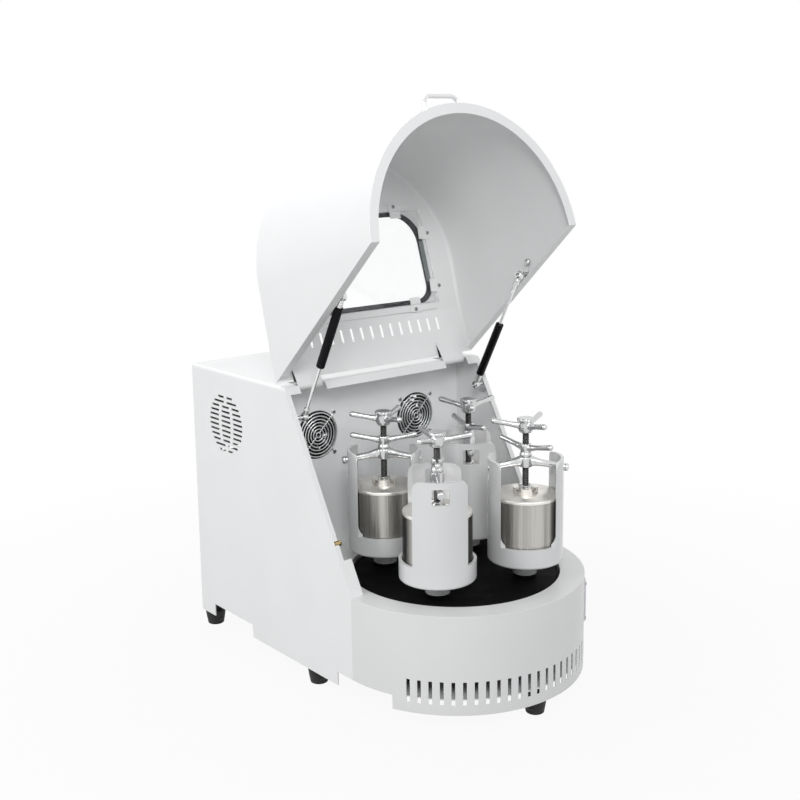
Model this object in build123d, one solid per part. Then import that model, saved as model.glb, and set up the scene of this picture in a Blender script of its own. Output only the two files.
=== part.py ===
from build123d import *
import os
from math import atan2, cos, degrees, hypot, radians, sin, sqrt

# Planetary ball mill with its hood open. Millimetres, +Z up, +Y to the rear.
# The origin is on the floor, at the centre of the machine's footprint.

# ---------------------------------------------------------------- overall body
body_width = 470.0            # across the cabinet, and the front drum's diameter
cabinet_rear = 508.0          # from the drum's axis back to the rear panel
cabinet_height = 541.0        # floor to the cabinet's top
deck_height = 204.0           # floor to the drum's top
panel_bottom = 30.0           # floor to the lower edge of the panels
sheet = 2.0                   # sheet steel of the cabinet, drum and hood
slope_run = 187.0             # how far the cheeks lean back from deck to top
edge_radius = 6.0             # folded edges of the cabinet
inlet_stand_out = 7.0         # the power inlet behind the rear panel
base_pan_height = 56.0        # underside of the base pan
bulkhead_back = 250.0         # from the drum's axis back to the bulkhead
seam_gap = 0.3                # between separate rigid bodies that almost touch

# ---------------------------------------------------------------- drum and deck
rim_inner_radius = 191.0      # round opening in the deck
collar_drop = 18.0            # rolled collar round that opening
drum_slot_count = 27
drum_slot_step = 4.7          # degrees between slots
drum_slot_width = 6.2
drum_slot_height = 41.0
drum_slot_bottom = 48.0
hand_notch_height = 25.0      # hand holds in the lower edge
rear_notch_front = 318.0      # behind the drum's axis
rear_notch_length = 140.0
front_notch_rear = 44.0       # behind the drum's axis
front_notch_ahead = 87.0      # ahead of the drum's axis

# ---------------------------------------------------------------- cheek flanges
flange_width = 10.0
flange_lower_width = 26.0     # wider at the foot of the slope
flange_lower_top = 261.0
flange_top_drop = 13.0        # front lip of the cabinet's top
hinge_notch_margin = 33.0     # in from the side panel
hinge_notch_width = 58.0
hinge_notch_depth = 36.0
stop_pin_height = 287.0
stop_pin_radius = 4.0
stop_pin_reach = 16.0
stop_pin_gap = 1.5

# ---------------------------------------------------------------- side and rear vents
vent_behind_axis = 388.0
vent_height = 439.0
vent_diameter = 116.0
vent_rows = 12
vent_pitch = 9.5
vent_slot = 4.4
vent_web = 9.0
rear_vent_count = 12
rear_vent_pitch = 14.0
rear_vent_width = 110.0
rear_vent_bottom = 200.0

# ---------------------------------------------------------------- feet
foot_radius = 20.5
foot_tip_radius = 16.0
foot_stem_radius = 12.0
foot_rear_inset = 27.0        # foot centres in from the side panels
foot_middle_inset = 22.0
foot_rear = 492.0             # behind the drum's axis
foot_middle = 132.0
foot_front = 207.0            # ahead of the drum's axis

# ---------------------------------------------------------------- hood
hood_top_rise = 13.0          # closed hood's top above the cabinet's
hood_edge_radius = 10.0
hood_arch_setback = 11.0      # arch centre behind the drum's axis
hood_gap = 1.0                # closed hood to cabinet
hood_lip_rise = 2.0           # rear edge of its top panel above the cabinet's
hood_rear_slope = 92.0        # run of the sloping strip ahead of that edge
rim_flange = 18.0             # inward flange round the open edge
hinge_behind_axis = 199.6
hinge_drop = 4.0              # hinge axis below the cabinet's top
open_angle = 104.6            # degrees from closed to open
hood_slot_count = 15
hood_slot_pitch = 23.6
hood_slot_width = 5.5
hood_slot_front = 110.0       # behind the drum's axis
hood_slot_length = 25.0

# ---------------------------------------------------------------- hood window
window_rear = 72.0            # behind the drum's axis
window_front = 97.0           # ahead of the drum's axis
window_rear_half = 156.0
window_front_half = 147.5
window_rear_radius = 28.0
window_front_radius = 60.0
gasket_thickness = 2.0
gasket_inset = 1.0            # gasket inside the pane's edge
gasket_corner = 36.0          # cut across its front corners
pane_thickness = 4.0
pane_end_margin = 7.0         # pane beyond the opening at the front and rear
pane_front_side_margin = 17.5
pane_rear_side_margin = 21.0
clip_width = 22.0
clip_foot = 22.0
clip_rear_foot = 14.0
clip_finger = 7.0             # over the pane
clip_thickness = 2.0
clip_riser = 2.0              # from the clip's centre
clip_screw = 14.0
clip_rear_screw = 8.5
clip_gap = 0.3                # riser to the pane's edge
screw_radius = 3.0
screw_head = 1.6
front_clip_side = 102.0       # from the middle plane
rear_clip_side = 115.0
side_clip_front = 58.0        # ahead of the drum's axis
side_clip_rear = 49.0         # behind it

# ---------------------------------------------------------------- hood handle
handle_height = 247.0         # closed height above the floor
handle_half = 38.0
handle_stand_off = 23.0
handle_bend = 14.0
handle_radius = 4.0

# ---------------------------------------------------------------- hinges
knuckle_radius = 5.0
pin_radius = 2.6
hinge_fit = 0.06
leaf_thickness = 2.0
leaf_length = 22.0
knuckle_end = 14.0            # length of each cabinet knuckle
knuckle_gap = 0.4

# ---------------------------------------------------------------- gas struts
strut_inset = 28.0            # in from the side panel
strut_low_ahead = 34.6        # lower ball ahead of the hinge axis
strut_low_drop = 49.0         # and below it
strut_top_ahead = 155.1       # upper ball ahead of it when the hood is open
strut_top_rise = 178.5        # and above it
strut_tube_radius = 7.5
strut_rod_radius = 3.0
strut_tube_length = 138.0
strut_eye_radius = 8.0
strut_eye_width = 8.0
ball_radius = 5.0
ball_gap = 0.3
stud_radius = 3.5
stud_reach = 7.5              # from the ball's centre to the stud's foot
bracket_plate = 3.0
bracket_half = 11.0
bracket_post_radius = 5.0

# ---------------------------------------------------------------- fans
fan_side = 120.0              # fan centre from the middle plane
fan_height = 425.0
fan_size = 92.0
fan_depth = 25.0
fan_bore = 43.0
fan_hub_radius = 17.0
fan_blade_count = 7
fan_tip_gap = 2.0
fan_corner_radius = 4.0
guard_ring_count = 6
guard_inner_ring = 9.0
guard_outer_ring = 45.0
guard_wire = 1.6
guard_stand_off = 3.0
guard_ear = 55.0              # screw eye from the fan's centre

# ---------------------------------------------------------------- drive
disc_radius = 187.0
disc_thickness = 13.0
disc_top = 199.0
disc_hub_radius = 34.0
disc_hub_drop = 9.0
orbit_radius = 129.7          # station centre from the drum's axis
main_shaft_radius = 14.0
shaft_fit = 0.05
driven_pulley_radius = 60.0
motor_pulley_radius = 24.0
drive_pulley_height = 16.0
drive_level = 68.0
drive_belt_width = 10.0
belt_thickness = 5.0
belt_gap = 0.3
pulley_flange = 3.0
housing_flange_bottom = 92.0
housing_flange_thickness = 8.0
housing_flange_radius = 124.0
housing_leg_radius = 7.0
housing_leg_orbit = 114.0
housing_radius = 36.0
sun_pulley_bottom = 112.0
sun_pulley_radius = 50.0
planet_pulley_radius = 25.0
belt_level_pitch = 14.5
planet_belt_width = 8.0
pulley_web = 3.0
motor_behind = 372.0
motor_radius = 66.0
motor_length = 210.0
motor_plate = 8.0
motor_plate_half = 80.0
motor_leg_inset = 12.0
motor_shaft_radius = 9.5
motor_fin_count = 16
motor_fin_depth = 5.0
motor_fin_width = 4.0

# ---------------------------------------------------------------- jar stations
first_station = -144.3        # azimuth of the front station, degrees from +X
station_count = 4
post_leads = (18.5, 16.0, 16.0, 16.0)   # posts ahead of the station's own azimuth
neck_radius = 20.5
neck_wall_gap = 0.4
planet_shaft_radius = 12.0
holder_bottom = 232.0
holder_floor = 12.0
holder_radius = 67.0
holder_wall = 5.5
holder_top = 418.0
holder_foot_radius = 5.0
post_corner = 15.0
window_half_width = 48.0
window_bottom = 268.0
window_corner = 20.0
arm_window_width = 30.0       # windows that the yoke's arms pass through
arm_window_bottom = 379.5
arm_window_top = 407.0
arm_window_corner = 3.0
jar_radius = 60.0
jar_wall = 8.0
jar_floor = 10.0
jar_top = 347.0
jar_edge = 3.0
lid_thickness = 6.0
lid_plug_depth = 6.0
lid_plug_gap = 0.4
boss_radius = 22.0
boss_height = 12.0
boss_recess_radius = 12.0
boss_recess_depth = 8.0
boss_notch = 9.0
boss_notch_depth = 8.0
screw_seat_gap = 0.3
spindle_radius = 6.0
spindle_foot_radius = 11.0
spindle_foot_height = 7.0
spindle_top = 489.0
yoke_hub_radius = 11.5
yoke_hub_bottom = 401.0
yoke_hub_top = 420.0
yoke_arm_radius = 5.8
yoke_arm_root = 413.0         # height of the arms' centre line at the hub's axis
yoke_arm_wall = 399.5         # and at the outside of the posts
yoke_knob_radius = 6.8
yoke_knob_length = 9.0
lock_bottom = 420.3
lock_height = 23.0
lock_hub_radius = 9.5
lock_spoke_root = 434.0
star_bottom = 463.5
star_hub_radius = 13.0
star_spoke_root = 473.0
spoke_radius = 4.6
spoke_tip_radius = 5.2
spoke_rise = 11.0             # degrees above level
spoke_reach = 61.0
star_spokes = 3
lock_spokes = 2
star_azimuths = (78.0, 18.5, 114.5, 21.5)
lock_azimuths = (50.0, 94.0, 76.5, 140.5)

# ---------------------------------------------------------------- controls
fascia_from = 44.0            # degrees round the drum from the front
fascia_to = 76.0
fascia_bottom = 108.0
fascia_top = 182.0
fascia_thickness = 3.0
display_recess = 1.2
display_from = 47.0
display_to = 62.0
display_bottom = 132.0
display_top = 172.0
button_radius = 8.0
button_gap = 0.3
button_proud = 3.0
button_depth = 14.0
button_azimuth = 69.5
start_button_height = 160.0
stop_button_height = 132.0

# ---------------------------------------------------------------- power inlet
inlet_side = 150.0
inlet_height = 120.0
inlet_width = 50.0
inlet_tall = 62.0
inlet_flange = 3.5
inlet_depth = 26.0
inlet_wall = 2.0
socket_width = 26.0
socket_tall = 18.0
socket_depth = 18.0
socket_drop = 14.0            # socket centre below the middle of the flange
rocker_lift = 14.0            # rocker centre above it
rocker_width = 20.0
rocker_half = 7.0
rocker_face = 6.5             # from the rocker's axis to the ends of its face
rocker_turn = 20.0            # degrees from off to on
rocker_pin = 2.0

# ---------------------------------------------------------------- worked out
drum_radius = body_width / 2
overall_depth = drum_radius + cabinet_rear + inlet_stand_out
drum_y = drum_radius - overall_depth / 2
rear_y = drum_y + cabinet_rear
slope_rise = cabinet_height - deck_height
slope_length = hypot(slope_run, slope_rise)
hood_bottom = deck_height + hood_gap
hood_top = cabinet_height + hood_top_rise
hood_rear_lip = cabinet_height + hood_lip_rise
hinge_height = cabinet_height - hinge_drop
hinge_y = drum_y + hinge_behind_axis
hinge_notch_inner = drum_radius - hinge_notch_margin - hinge_notch_width
strut_side = drum_radius - strut_inset
arch_y = drum_y + hood_arch_setback
slope_top_y = drum_y + slope_run
hinge_axis = Axis((0, hinge_y, hinge_height), (1, 0, 0))
hood_underside = hood_top - sheet
sun_pulley_height = station_count * belt_level_pitch + pulley_web
wide = 4 * body_width         # longer than anything it has to cut

os.makedirs("parts", exist_ok=True)


def save(name, shape):
    """Write one named piece of the machine."""
    shape.label = name
    export_step(shape, f"parts/{name}.step")


def block(x0, x1, y0, y1, z0, z1):
    """A box between two corners."""
    size = Box(x1 - x0, y1 - y0, z1 - z0, align=(Align.MIN, Align.MIN, Align.MIN))
    return Pos(x0, y0, z0) * size


def post(radius, z0, z1):
    """An upright cylinder on the local Z axis."""
    return Pos(0, 0, z0) * Cylinder(radius, z1 - z0, align=(Align.CENTER, Align.CENTER, Align.MIN))


def ring(outer, inner, z0, z1):
    return post(outer, z0, z1) - post(inner, z0 - 1, z1 + 1)


def across(radius, x0, x1, y=0.0, z=0.0):
    """A cylinder along X."""
    rod = Cylinder(radius, x1 - x0, align=(Align.CENTER, Align.CENTER, Align.MIN))
    return Pos(x0, y, z) * Rot(Y=90) * rod


def mirrored(shape):
    """The shape and its twin on the other side of the machine."""
    return Compound(children=[shape, mirror(shape, about=Plane.YZ)])


def side_profile(points, half_width):
    """A (y, z) outline carried across the machine."""
    face = make_face(Polyline(*[(0, y, z) for y, z in points], close=True))
    return Pos(-half_width, 0, 0) * extrude(face, 2 * half_width, dir=(1, 0, 0))


def below_slope(lift):
    """Everything behind and below the cheeks' sloping plane, raised by a gap."""
    run = slope_run / slope_rise
    offset = lift * slope_length / slope_run
    low_z, high_z = -wide, wide
    low_y = drum_y + (low_z - deck_height - offset) * run
    high_y = drum_y + (high_z - deck_height - offset) * run
    return side_profile([(low_y, low_z), (high_y, high_z), (high_y + wide, high_z), (wide, low_z)], wide)


def as_opened(shape):
    """Swing a hood piece from its closed place to the open rest."""
    return shape.rotate(hinge_axis, -open_angle)


# ================================================================ cabinet
def slope_plane():
    run, rise = slope_run / slope_length, slope_rise / slope_length
    return Plane(origin=(0, drum_y, deck_height), x_dir=(1, 0, 0), z_dir=(0, -rise, run))


def up_slope(height):
    """Distance along the slope of a height above the floor."""
    return (height - deck_height) * slope_length / slope_rise


def slope_frame():
    """Front flanges of the cheeks and the lip of the top, folded in along the slope."""
    plane = slope_plane()
    half = drum_radius
    face = Pos(0, slope_length / 2) * Rectangle(body_width, slope_length)
    lower = up_slope(flange_lower_top)
    upper = up_slope(cabinet_height - flange_top_drop)
    wide_hole = Rectangle(2 * (half - flange_width), upper - lower, align=(Align.CENTER, Align.MIN))
    low_hole = Rectangle(2 * (half - flange_lower_width), lower + 1, align=(Align.CENTER, Align.MIN))
    face -= Pos(0, lower) * wide_hole
    face -= Pos(0, -1) * low_hole
    frame = extrude(plane * face, -sheet)
    frame -= block(-wide, wide, -wide, wide, 0, deck_height)
    y, z = stop_pin_axis()
    slot = across(stop_pin_radius + stop_pin_gap, half - flange_width - 1, half - sheet, y, z)
    return frame - slot - mirror(slot, about=Plane.YZ)


def stop_pin_axis():
    """Just behind the sloping plane, so that the closed hood stays clear."""
    back = (stop_pin_height - deck_height) * slope_run / slope_rise
    return drum_y + back + stop_pin_radius * slope_length / slope_rise, stop_pin_height


def round_vent(side):
    """Rows of level slots that fill a circle on a side panel."""
    centre_y = drum_y + vent_behind_axis
    radius = vent_diameter / 2
    slots = []
    for row in range(vent_rows):
        lift = (row - (vent_rows - 1) / 2) * vent_pitch
        chord = 2 * sqrt(radius**2 - lift**2)
        count = 3 if chord > 0.75 * vent_diameter else 2
        length = (chord - (count - 1) * vent_web) / count
        for column in range(count):
            start = centre_y - chord / 2 + column * (length + vent_web)
            z = vent_height + lift
            slots.append(block(side - edge_radius, side + edge_radius, start, start + length,
                               z - vent_slot / 2, z + vent_slot / 2))
    return slots


def hand_notches():
    """Openings in the lower edge of both sides."""
    top = panel_bottom + hand_notch_height
    rear = drum_y + rear_notch_front
    notches = [block(-wide, wide, rear, rear + rear_notch_length, 0, top)]
    notches.append(block(-wide, wide, drum_y - front_notch_ahead, drum_y + front_notch_rear, 0, top))
    return notches


def hinge_notches():
    back = slope_top_y + hinge_notch_depth
    inner, outer = hinge_notch_inner, hinge_notch_inner + hinge_notch_width
    cut = block(inner, outer, slope_top_y - slope_run, back,
                cabinet_height - flange_top_drop - sheet, cabinet_height + 1)
    return [cut, mirror(cut, about=Plane.YZ)]


def cabinet_shell():
    outline = [(drum_y, panel_bottom), (rear_y, panel_bottom), (rear_y, cabinet_height),
               (slope_top_y, cabinet_height), (drum_y, deck_height)]
    outer = side_profile(outline, drum_radius)
    top_edges = outer.edges().filter_by(Axis.Y).sort_by(Axis.Z)[-2:]
    outer = fillet(top_edges, edge_radius)
    hollow = block(-drum_radius + sheet, drum_radius - sheet, drum_y - wide, rear_y + wide,
                   -wide, cabinet_height - sheet)
    inner_edges = hollow.edges().filter_by(Axis.Y).sort_by(Axis.Z)[-2:]
    hollow = fillet(inner_edges, edge_radius - sheet)
    shell = outer - hollow
    shell += slope_frame() & outer
    cutters = round_vent(-drum_radius) + round_vent(drum_radius) + hand_notches() + hinge_notches()
    return shell - cutters


def drum_and_deck():
    """Front drum skirt with its slots, the flat rim and the chamber floor, welded as one."""
    half = block(-wide, wide, -wide, 0, -1, wide)
    skirt = ring(drum_radius, drum_radius - sheet, panel_bottom, deck_height) & half
    rim = post(drum_radius, deck_height - sheet, deck_height) & half
    inner_half = drum_radius - sheet
    floor = block(-inner_half, inner_half, 0, bulkhead_back, deck_height - sheet, deck_height)
    collar = ring(rim_inner_radius + sheet, rim_inner_radius, deck_height - collar_drop, deck_height)
    body = skirt + rim + floor + collar
    body -= post(rim_inner_radius, 0, wide)
    slot = block(-drum_slot_width / 2, drum_slot_width / 2, -drum_radius - 1, -drum_radius + sheet + 1,
                 drum_slot_bottom, drum_slot_bottom + drum_slot_height)
    first = -(drum_slot_count - 1) / 2 * drum_slot_step
    slots = [Rot(Z=first + i * drum_slot_step) * slot for i in range(drum_slot_count)]
    body = Pos(0, drum_y, 0) * (body - slots)
    holes = [Pos(0, drum_y, 0) * Rot(Z=button_azimuth) * button_hole(z)
             for z in (start_button_height, stop_button_height)]
    return body - hand_notches() - holes


def chassis_pan():
    """Base pan and rear panel, folded from one sheet."""
    inside = drum_radius - sheet
    floor_top = base_pan_height + sheet
    front = Pos(0, drum_y, 0) * (post(inside, base_pan_height, floor_top) & block(-wide, wide, -wide, 0, 0, wide))
    pan = front + block(-inside, inside, drum_y, rear_y, base_pan_height, floor_top)
    corner = edge_radius - sheet
    back = block(-inside, inside, rear_y - sheet, rear_y, base_pan_height, cabinet_height - sheet)
    back = fillet(back.edges().filter_by(Axis.Y).sort_by(Axis.Z)[-2:], corner)
    pan += back
    vents = []
    for side in (-1, 1):
        for i in range(rear_vent_count):
            z = rear_vent_bottom + i * rear_vent_pitch
            middle = side * fan_side
            vents.append(block(middle - rear_vent_width / 2, middle + rear_vent_width / 2,
                               rear_y - 2 * sheet, rear_y + 1, z, z + vent_slot))
    seat = block(inlet_side - inlet_width / 2 + 8, inlet_side + inlet_width / 2 - 8, rear_y - 2 * sheet, rear_y + 1,
                 inlet_height - inlet_tall / 2 + 5, inlet_height + inlet_tall / 2 - 5)
    return pan - vents - seat


def bulkhead():
    """Upright wall between the milling chamber and the motor bay."""
    inside = drum_radius - sheet
    y0 = drum_y + bulkhead_back
    wall = block(-inside, inside, y0, y0 + sheet, deck_height - sheet, cabinet_height - sheet)
    wall = fillet(wall.edges().filter_by(Axis.Y).sort_by(Axis.Z)[-2:], edge_radius - sheet)
    for side in (-1, 1):
        wall -= Pos(side * fan_side, y0 - 1, fan_height) * Rot(X=-90) * post(fan_bore, 0, sheet + 2)
    return wall


def feet():
    tips = []
    rear_side, middle_side = drum_radius - foot_rear_inset, drum_radius - foot_middle_inset
    places = [(-rear_side, foot_rear), (rear_side, foot_rear), (-middle_side, foot_middle),
              (middle_side, foot_middle), (0, -foot_front)]
    for x, behind in places:
        cone = Cone(foot_tip_radius, foot_radius, panel_bottom, align=(Align.CENTER, Align.CENTER, Align.MIN))
        foot = cone + post(foot_stem_radius, panel_bottom - 1, base_pan_height)
        tips.append(Pos(x, drum_y + behind, 0) * foot)
    return Compound(children=tips)


def stop_pins():
    """Brass pins from the cheeks, let into the flanges, which centre the closed hood."""
    y, z = stop_pin_axis()
    wall = drum_radius - sheet
    pin = across(stop_pin_radius, wall - stop_pin_reach, wall, y, z)
    return mirrored(chamfer(pin.edges().filter_by(GeomType.CIRCLE).sort_by(Axis.X)[0], 1.0))


# ================================================================ hood
def hood_plan(inset, z0, z1):
    """Plan of the hood: a half round front with straight sides. Pulled in, it is open at the rear."""
    radius = drum_radius - inset
    rear = slope_top_y + (1 if inset else 0)
    arch = Pos(0, arch_y, 0) * post(radius, z0, z1)
    arch &= block(-wide, wide, -wide, rear, z0, z1)
    return arch + block(-radius, radius, arch_y, rear, z0, z1)


def hood_body(inset, drop, bottom):
    """The hood's outer form, or its hollow when pulled in."""
    top = hood_top - drop
    body = hood_plan(inset, bottom, top)
    crown = [e for e in body.edges() if e.center().Z > top - 0.1 and e.center().Y < slope_top_y - 1]
    body = fillet(crown, max(hood_edge_radius - inset, 1.0))
    lip = hood_rear_lip - drop
    rear = slope_top_y
    fall = (top - lip) / hood_rear_slope
    wedge = side_profile([(rear - hood_rear_slope, top), (rear + 2, lip - 2 * fall),
                          (rear + 2, top + 1), (rear - hood_rear_slope, top + 1)], wide)
    return body - wedge


def hood_shell():
    outer = hood_body(0, 0, hood_bottom)
    hollow = hood_body(sheet, sheet, hood_bottom - 1)
    shell = (outer - hollow) - below_slope(hood_gap)
    lining = outer - below_slope(hood_gap)
    sides = lining - hood_plan(rim_flange, 0, wide)
    arch_band = sides & block(-wide, wide, -wide, drum_y + sheet, hood_bottom, hood_bottom + sheet)
    slope_band = sides & (below_slope(hood_gap + sheet) & block(-wide, wide, drum_y - wide, slope_top_y - 8,
                                                               hood_bottom, cabinet_height))
    shell += arch_band
    shell += slope_band
    shell -= window_cut(0, hood_underside - 1, hood_top + 1)
    first = -(hood_slot_count - 1) / 2 * hood_slot_pitch
    slots = []
    for i in range(hood_slot_count):
        x = first + i * hood_slot_pitch
        y = drum_y + hood_slot_front
        slots.append(block(x - hood_slot_width / 2, x + hood_slot_width / 2, y, y + hood_slot_length,
                           hood_rear_lip - 2 * sheet, hood_top + 1))
    return shell - slots


def window_outline(grow):
    """Outline of the window on the hood's top, grown by a margin, as a face at height 0."""
    rear = drum_y + window_rear + grow
    front = drum_y - window_front - grow
    rear_half = window_rear_half + grow
    front_half = window_front_half + grow
    face = make_face(Polyline((-rear_half, rear), (rear_half, rear), (front_half, front),
                              (-front_half, front), close=True))
    corners = face.vertices().sort_by(Axis.Y)
    face = fillet(corners[:2], window_front_radius + grow)
    corners = face.vertices().sort_by(Axis.Y)[-2:]
    return fillet(corners, window_rear_radius + grow)


def window_cut(grow, z0, z1):
    return Pos(0, 0, z0) * extrude(window_outline(grow), z1 - z0)


def pane_face(inset):
    """The pane's outline, drawn in by an inset, as a face at height 0."""
    rear, front, half_rear, half_front = pane_corners()
    rear, front = drum_y + rear - inset, drum_y + front + inset
    half_rear, half_front = half_rear - inset, half_front - inset
    return make_face(Polyline((-half_rear, rear), (half_rear, rear), (half_front, front),
                              (-half_front, front), close=True))


def window_gasket():
    """Flat rubber between the pane and the hood, out to the pane's edge."""
    top = hood_underside
    face = pane_face(gasket_inset)
    face = chamfer(face.vertices().sort_by(Axis.Y)[:2], gasket_corner)
    band = Pos(0, 0, top - gasket_thickness) * extrude(face, gasket_thickness)
    return band - window_cut(0, top - 2 * gasket_thickness, top + 1)


def pane_corners():
    """The pane's ends and half widths."""
    rear = window_rear + pane_end_margin
    front = -window_front - pane_end_margin
    return rear, front, window_rear_half + pane_rear_side_margin, window_front_half + pane_front_side_margin


def window_pane():
    top = hood_underside - gasket_thickness
    return Pos(0, 0, top - pane_thickness) * extrude(pane_face(0), pane_thickness)


def clip(foot, screw):
    """Cranked clip with its screw, drawn with the foot towards local +X."""
    under = hood_underside
    low = under - gasket_thickness - pane_thickness - clip_thickness
    half = clip_width / 2
    riser = clip_riser + clip_thickness
    body = block(clip_riser, foot, -half, half, under - clip_thickness, under)
    body += block(clip_riser, riser, -half, half, low, under)
    body += block(-clip_finger, riser, -half, half, low, low + clip_thickness)
    head = under - clip_thickness
    return body + Pos(screw, 0, 0) * post(screw_radius, head - screw_head, head)


def window_clips():
    """Clips all round the pane, which hold it from inside."""
    rear, front, half_rear, half_front = pane_corners()
    taper = (half_rear - half_front) / (rear - front)
    lean = degrees(atan2(half_rear - half_front, rear - front))
    inset = clip_riser - clip_gap
    long = clip(clip_foot, clip_screw)
    short = clip(clip_rear_foot, clip_rear_screw)
    right = [Pos(front_clip_side, front + inset, 0) * Rot(Z=-90) * long,
             Pos(rear_clip_side, rear - inset, 0) * Rot(Z=90) * short]
    for y in (-side_clip_front, side_clip_rear):
        edge = half_front + taper * (y - front)
        right.append(Pos(edge - inset / cos(radians(lean)), y, 0) * Rot(Z=-lean) * long)
    right = [Pos(0, drum_y, 0) * piece for piece in right]
    return Compound(children=right + [mirror(piece, about=Plane.YZ) for piece in right])


def hood_handle():
    """Bail handle on the front of the hood, bent from round bar."""
    wall = arch_y - drum_radius
    foot_y = arch_y - sqrt(drum_radius**2 - handle_half**2)
    bar_y = wall - handle_stand_off
    path = FilletPolyline((-handle_half, foot_y, handle_height), (-handle_half, bar_y, handle_height),
                          (handle_half, bar_y, handle_height), (handle_half, foot_y, handle_height),
                          radius=handle_bend)
    bar = sweep(Plane(origin=path @ 0, z_dir=path % 0) * Circle(handle_radius), path)
    pads = []
    for side in (-1, 1):
        pad = Pos(side * handle_half, foot_y - 3, handle_height) * Rot(X=-90) * post(handle_radius + 3, 0, 8)
        pads.append(pad)
    return (bar + pads) - hood_plan(0, 0, wide)


# ================================================================ hinges
def hinge_span():
    """Where one hinge lies across the machine, inside its notch."""
    inner = hinge_notch_inner + hood_gap
    outer = hinge_notch_inner + hinge_notch_width - hood_gap
    return inner, outer


def cabinet_hinge():
    """Fixed leaf under the cabinet's top with its two knuckles and the pin."""
    inner, outer = hinge_span()
    y = hinge_y
    under = cabinet_height - sheet
    back = slope_top_y + hinge_notch_depth + leaf_length
    barrel = across(knuckle_radius, inner, outer, y, hinge_height)
    leaf = block(inner, outer, y, back, under - leaf_thickness, under)
    gap = block(inner + knuckle_end, outer - knuckle_end, y - 2 * knuckle_radius,
                y + knuckle_radius + 1, 0, wide)
    pin = across(pin_radius, inner, outer, y, hinge_height)
    return (barrel + leaf - gap) + pin


def hood_hinge():
    """Moving leaf under the hood's top with the middle knuckle, in its closed place."""
    inner, outer = hinge_span()
    inner += knuckle_end + knuckle_gap
    outer -= knuckle_end + knuckle_gap
    y = hinge_y
    under = hood_rear_lip - sheet
    rise = (hood_top - hood_rear_lip) / hood_rear_slope * leaf_length
    barrel = across(knuckle_radius, inner, outer, y, hinge_height)
    rear = slope_top_y
    arm = side_profile([(y, under), (rear, under), (rear - leaf_length, under + rise),
                        (rear - leaf_length, under + rise - leaf_thickness),
                        (rear, under - leaf_thickness), (y, under - leaf_thickness)], outer)
    arm &= block(inner, outer, -wide, wide, 0, wide)
    return (barrel + arm) - across(pin_radius + hinge_fit, inner - 1, outer + 1, y, hinge_height)


# ================================================================ gas struts
strut_low = (hinge_y - strut_low_ahead, hinge_height - strut_low_drop)
strut_top = (hinge_y - strut_top_ahead, hinge_height + strut_top_rise)
strut_run = strut_top[0] - strut_low[0]
strut_rise = strut_top[1] - strut_low[1]
strut_length = hypot(strut_run, strut_rise)
strut_lean = degrees(atan2(-strut_run, strut_rise))


def on_strut(side, shape):
    """Place a piece drawn along +Z from the lower ball onto a strut."""
    return Pos(side * strut_side, strut_low[0], strut_low[1]) * Rot(X=strut_lean) * shape


def eye(at_height):
    """Rod end round a ball stud, its hole across the machine."""
    body = Pos(0, 0, at_height) * across(strut_eye_radius, -strut_eye_width / 2, strut_eye_width / 2)
    return body - Pos(0, 0, at_height) * across(ball_radius + ball_gap, -strut_eye_width, strut_eye_width)


def ball_stud(side, at_height):
    """Ball in the upper rod end with the stud that points at the hood's bracket."""
    ball = Pos(0, 0, at_height) * Sphere(ball_radius)
    reach = (0, stud_reach) if side > 0 else (-stud_reach, 0)
    return ball + Pos(0, 0, at_height) * across(stud_radius, *reach)


def strut_tube(upper):
    """Pressure tube with the rod end on its closed end."""
    eye_height = strut_length if upper else 0.0
    toward = -1 if upper else 1
    near = eye_height + toward * (strut_eye_radius + 6)
    far = near + toward * strut_tube_length
    z0, z1 = sorted((near, far))
    tube = post(strut_tube_radius, z0, z1)
    tube = chamfer(tube.edges().filter_by(GeomType.CIRCLE), 1.0)
    z2, z3 = sorted((eye_height + toward * (ball_radius + ball_gap + 1), near + toward))
    bore0, bore1 = sorted((near + toward * 6, far + toward))
    tube -= post(strut_rod_radius + shaft_fit, bore0, bore1)
    return tube + eye(eye_height) + post(strut_rod_radius + 1.5, z2, z3)


def strut_rod(upper_tube):
    """Bright rod with its rod end, sliding in the tube."""
    eye_height = 0.0 if upper_tube else strut_length
    toward = 1 if upper_tube else -1
    inner_end = strut_length - strut_eye_radius - 6 - strut_tube_length + 12
    end = inner_end if upper_tube else strut_length - inner_end
    start = eye_height + toward * (ball_radius + ball_gap + 1)
    z0, z1 = sorted((start, end))
    return post(strut_rod_radius, z0, z1) + eye(eye_height)


def cabinet_ball_bracket(side):
    """Plate on the cheek with the lower ball stud."""
    y, z = strut_low
    wall = drum_radius - sheet
    plate = block(wall - bracket_plate, wall, y - 2, y + 2 * bracket_half, z - 1.7 * bracket_half, z + 4)
    stud = across(stud_radius, strut_side, wall, y, z)
    bracket = plate + stud + Pos(strut_side, y, z) * Sphere(ball_radius)
    return bracket if side > 0 else mirror(bracket, about=Plane.YZ)


def hood_ball_bracket(side):
    """Plate and post on the hood's wall that the upper stud points at, in the open place."""
    y, z = strut_top
    wall = drum_radius - sheet
    face = strut_side + stud_reach + seam_gap
    pad = across(bracket_post_radius, face, wall, y, z)
    closed_y, closed_z = hood_closed_point(y, z)
    plate = block(wall - bracket_plate, wall, closed_y - bracket_half, closed_y + bracket_half / 2,
                  closed_z - 2, closed_z + 2 * bracket_half)
    bracket = pad + (as_opened(plate))
    return bracket if side > 0 else mirror(bracket, about=Plane.YZ)


def hood_closed_point(y, z):
    """Where a point of the open hood lies when the hood is closed."""
    turn = radians(open_angle)
    dy, dz = y - hinge_y, z - hinge_height
    return hinge_y + dy * cos(turn) - dz * sin(turn), hinge_height + dy * sin(turn) + dz * cos(turn)


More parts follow.
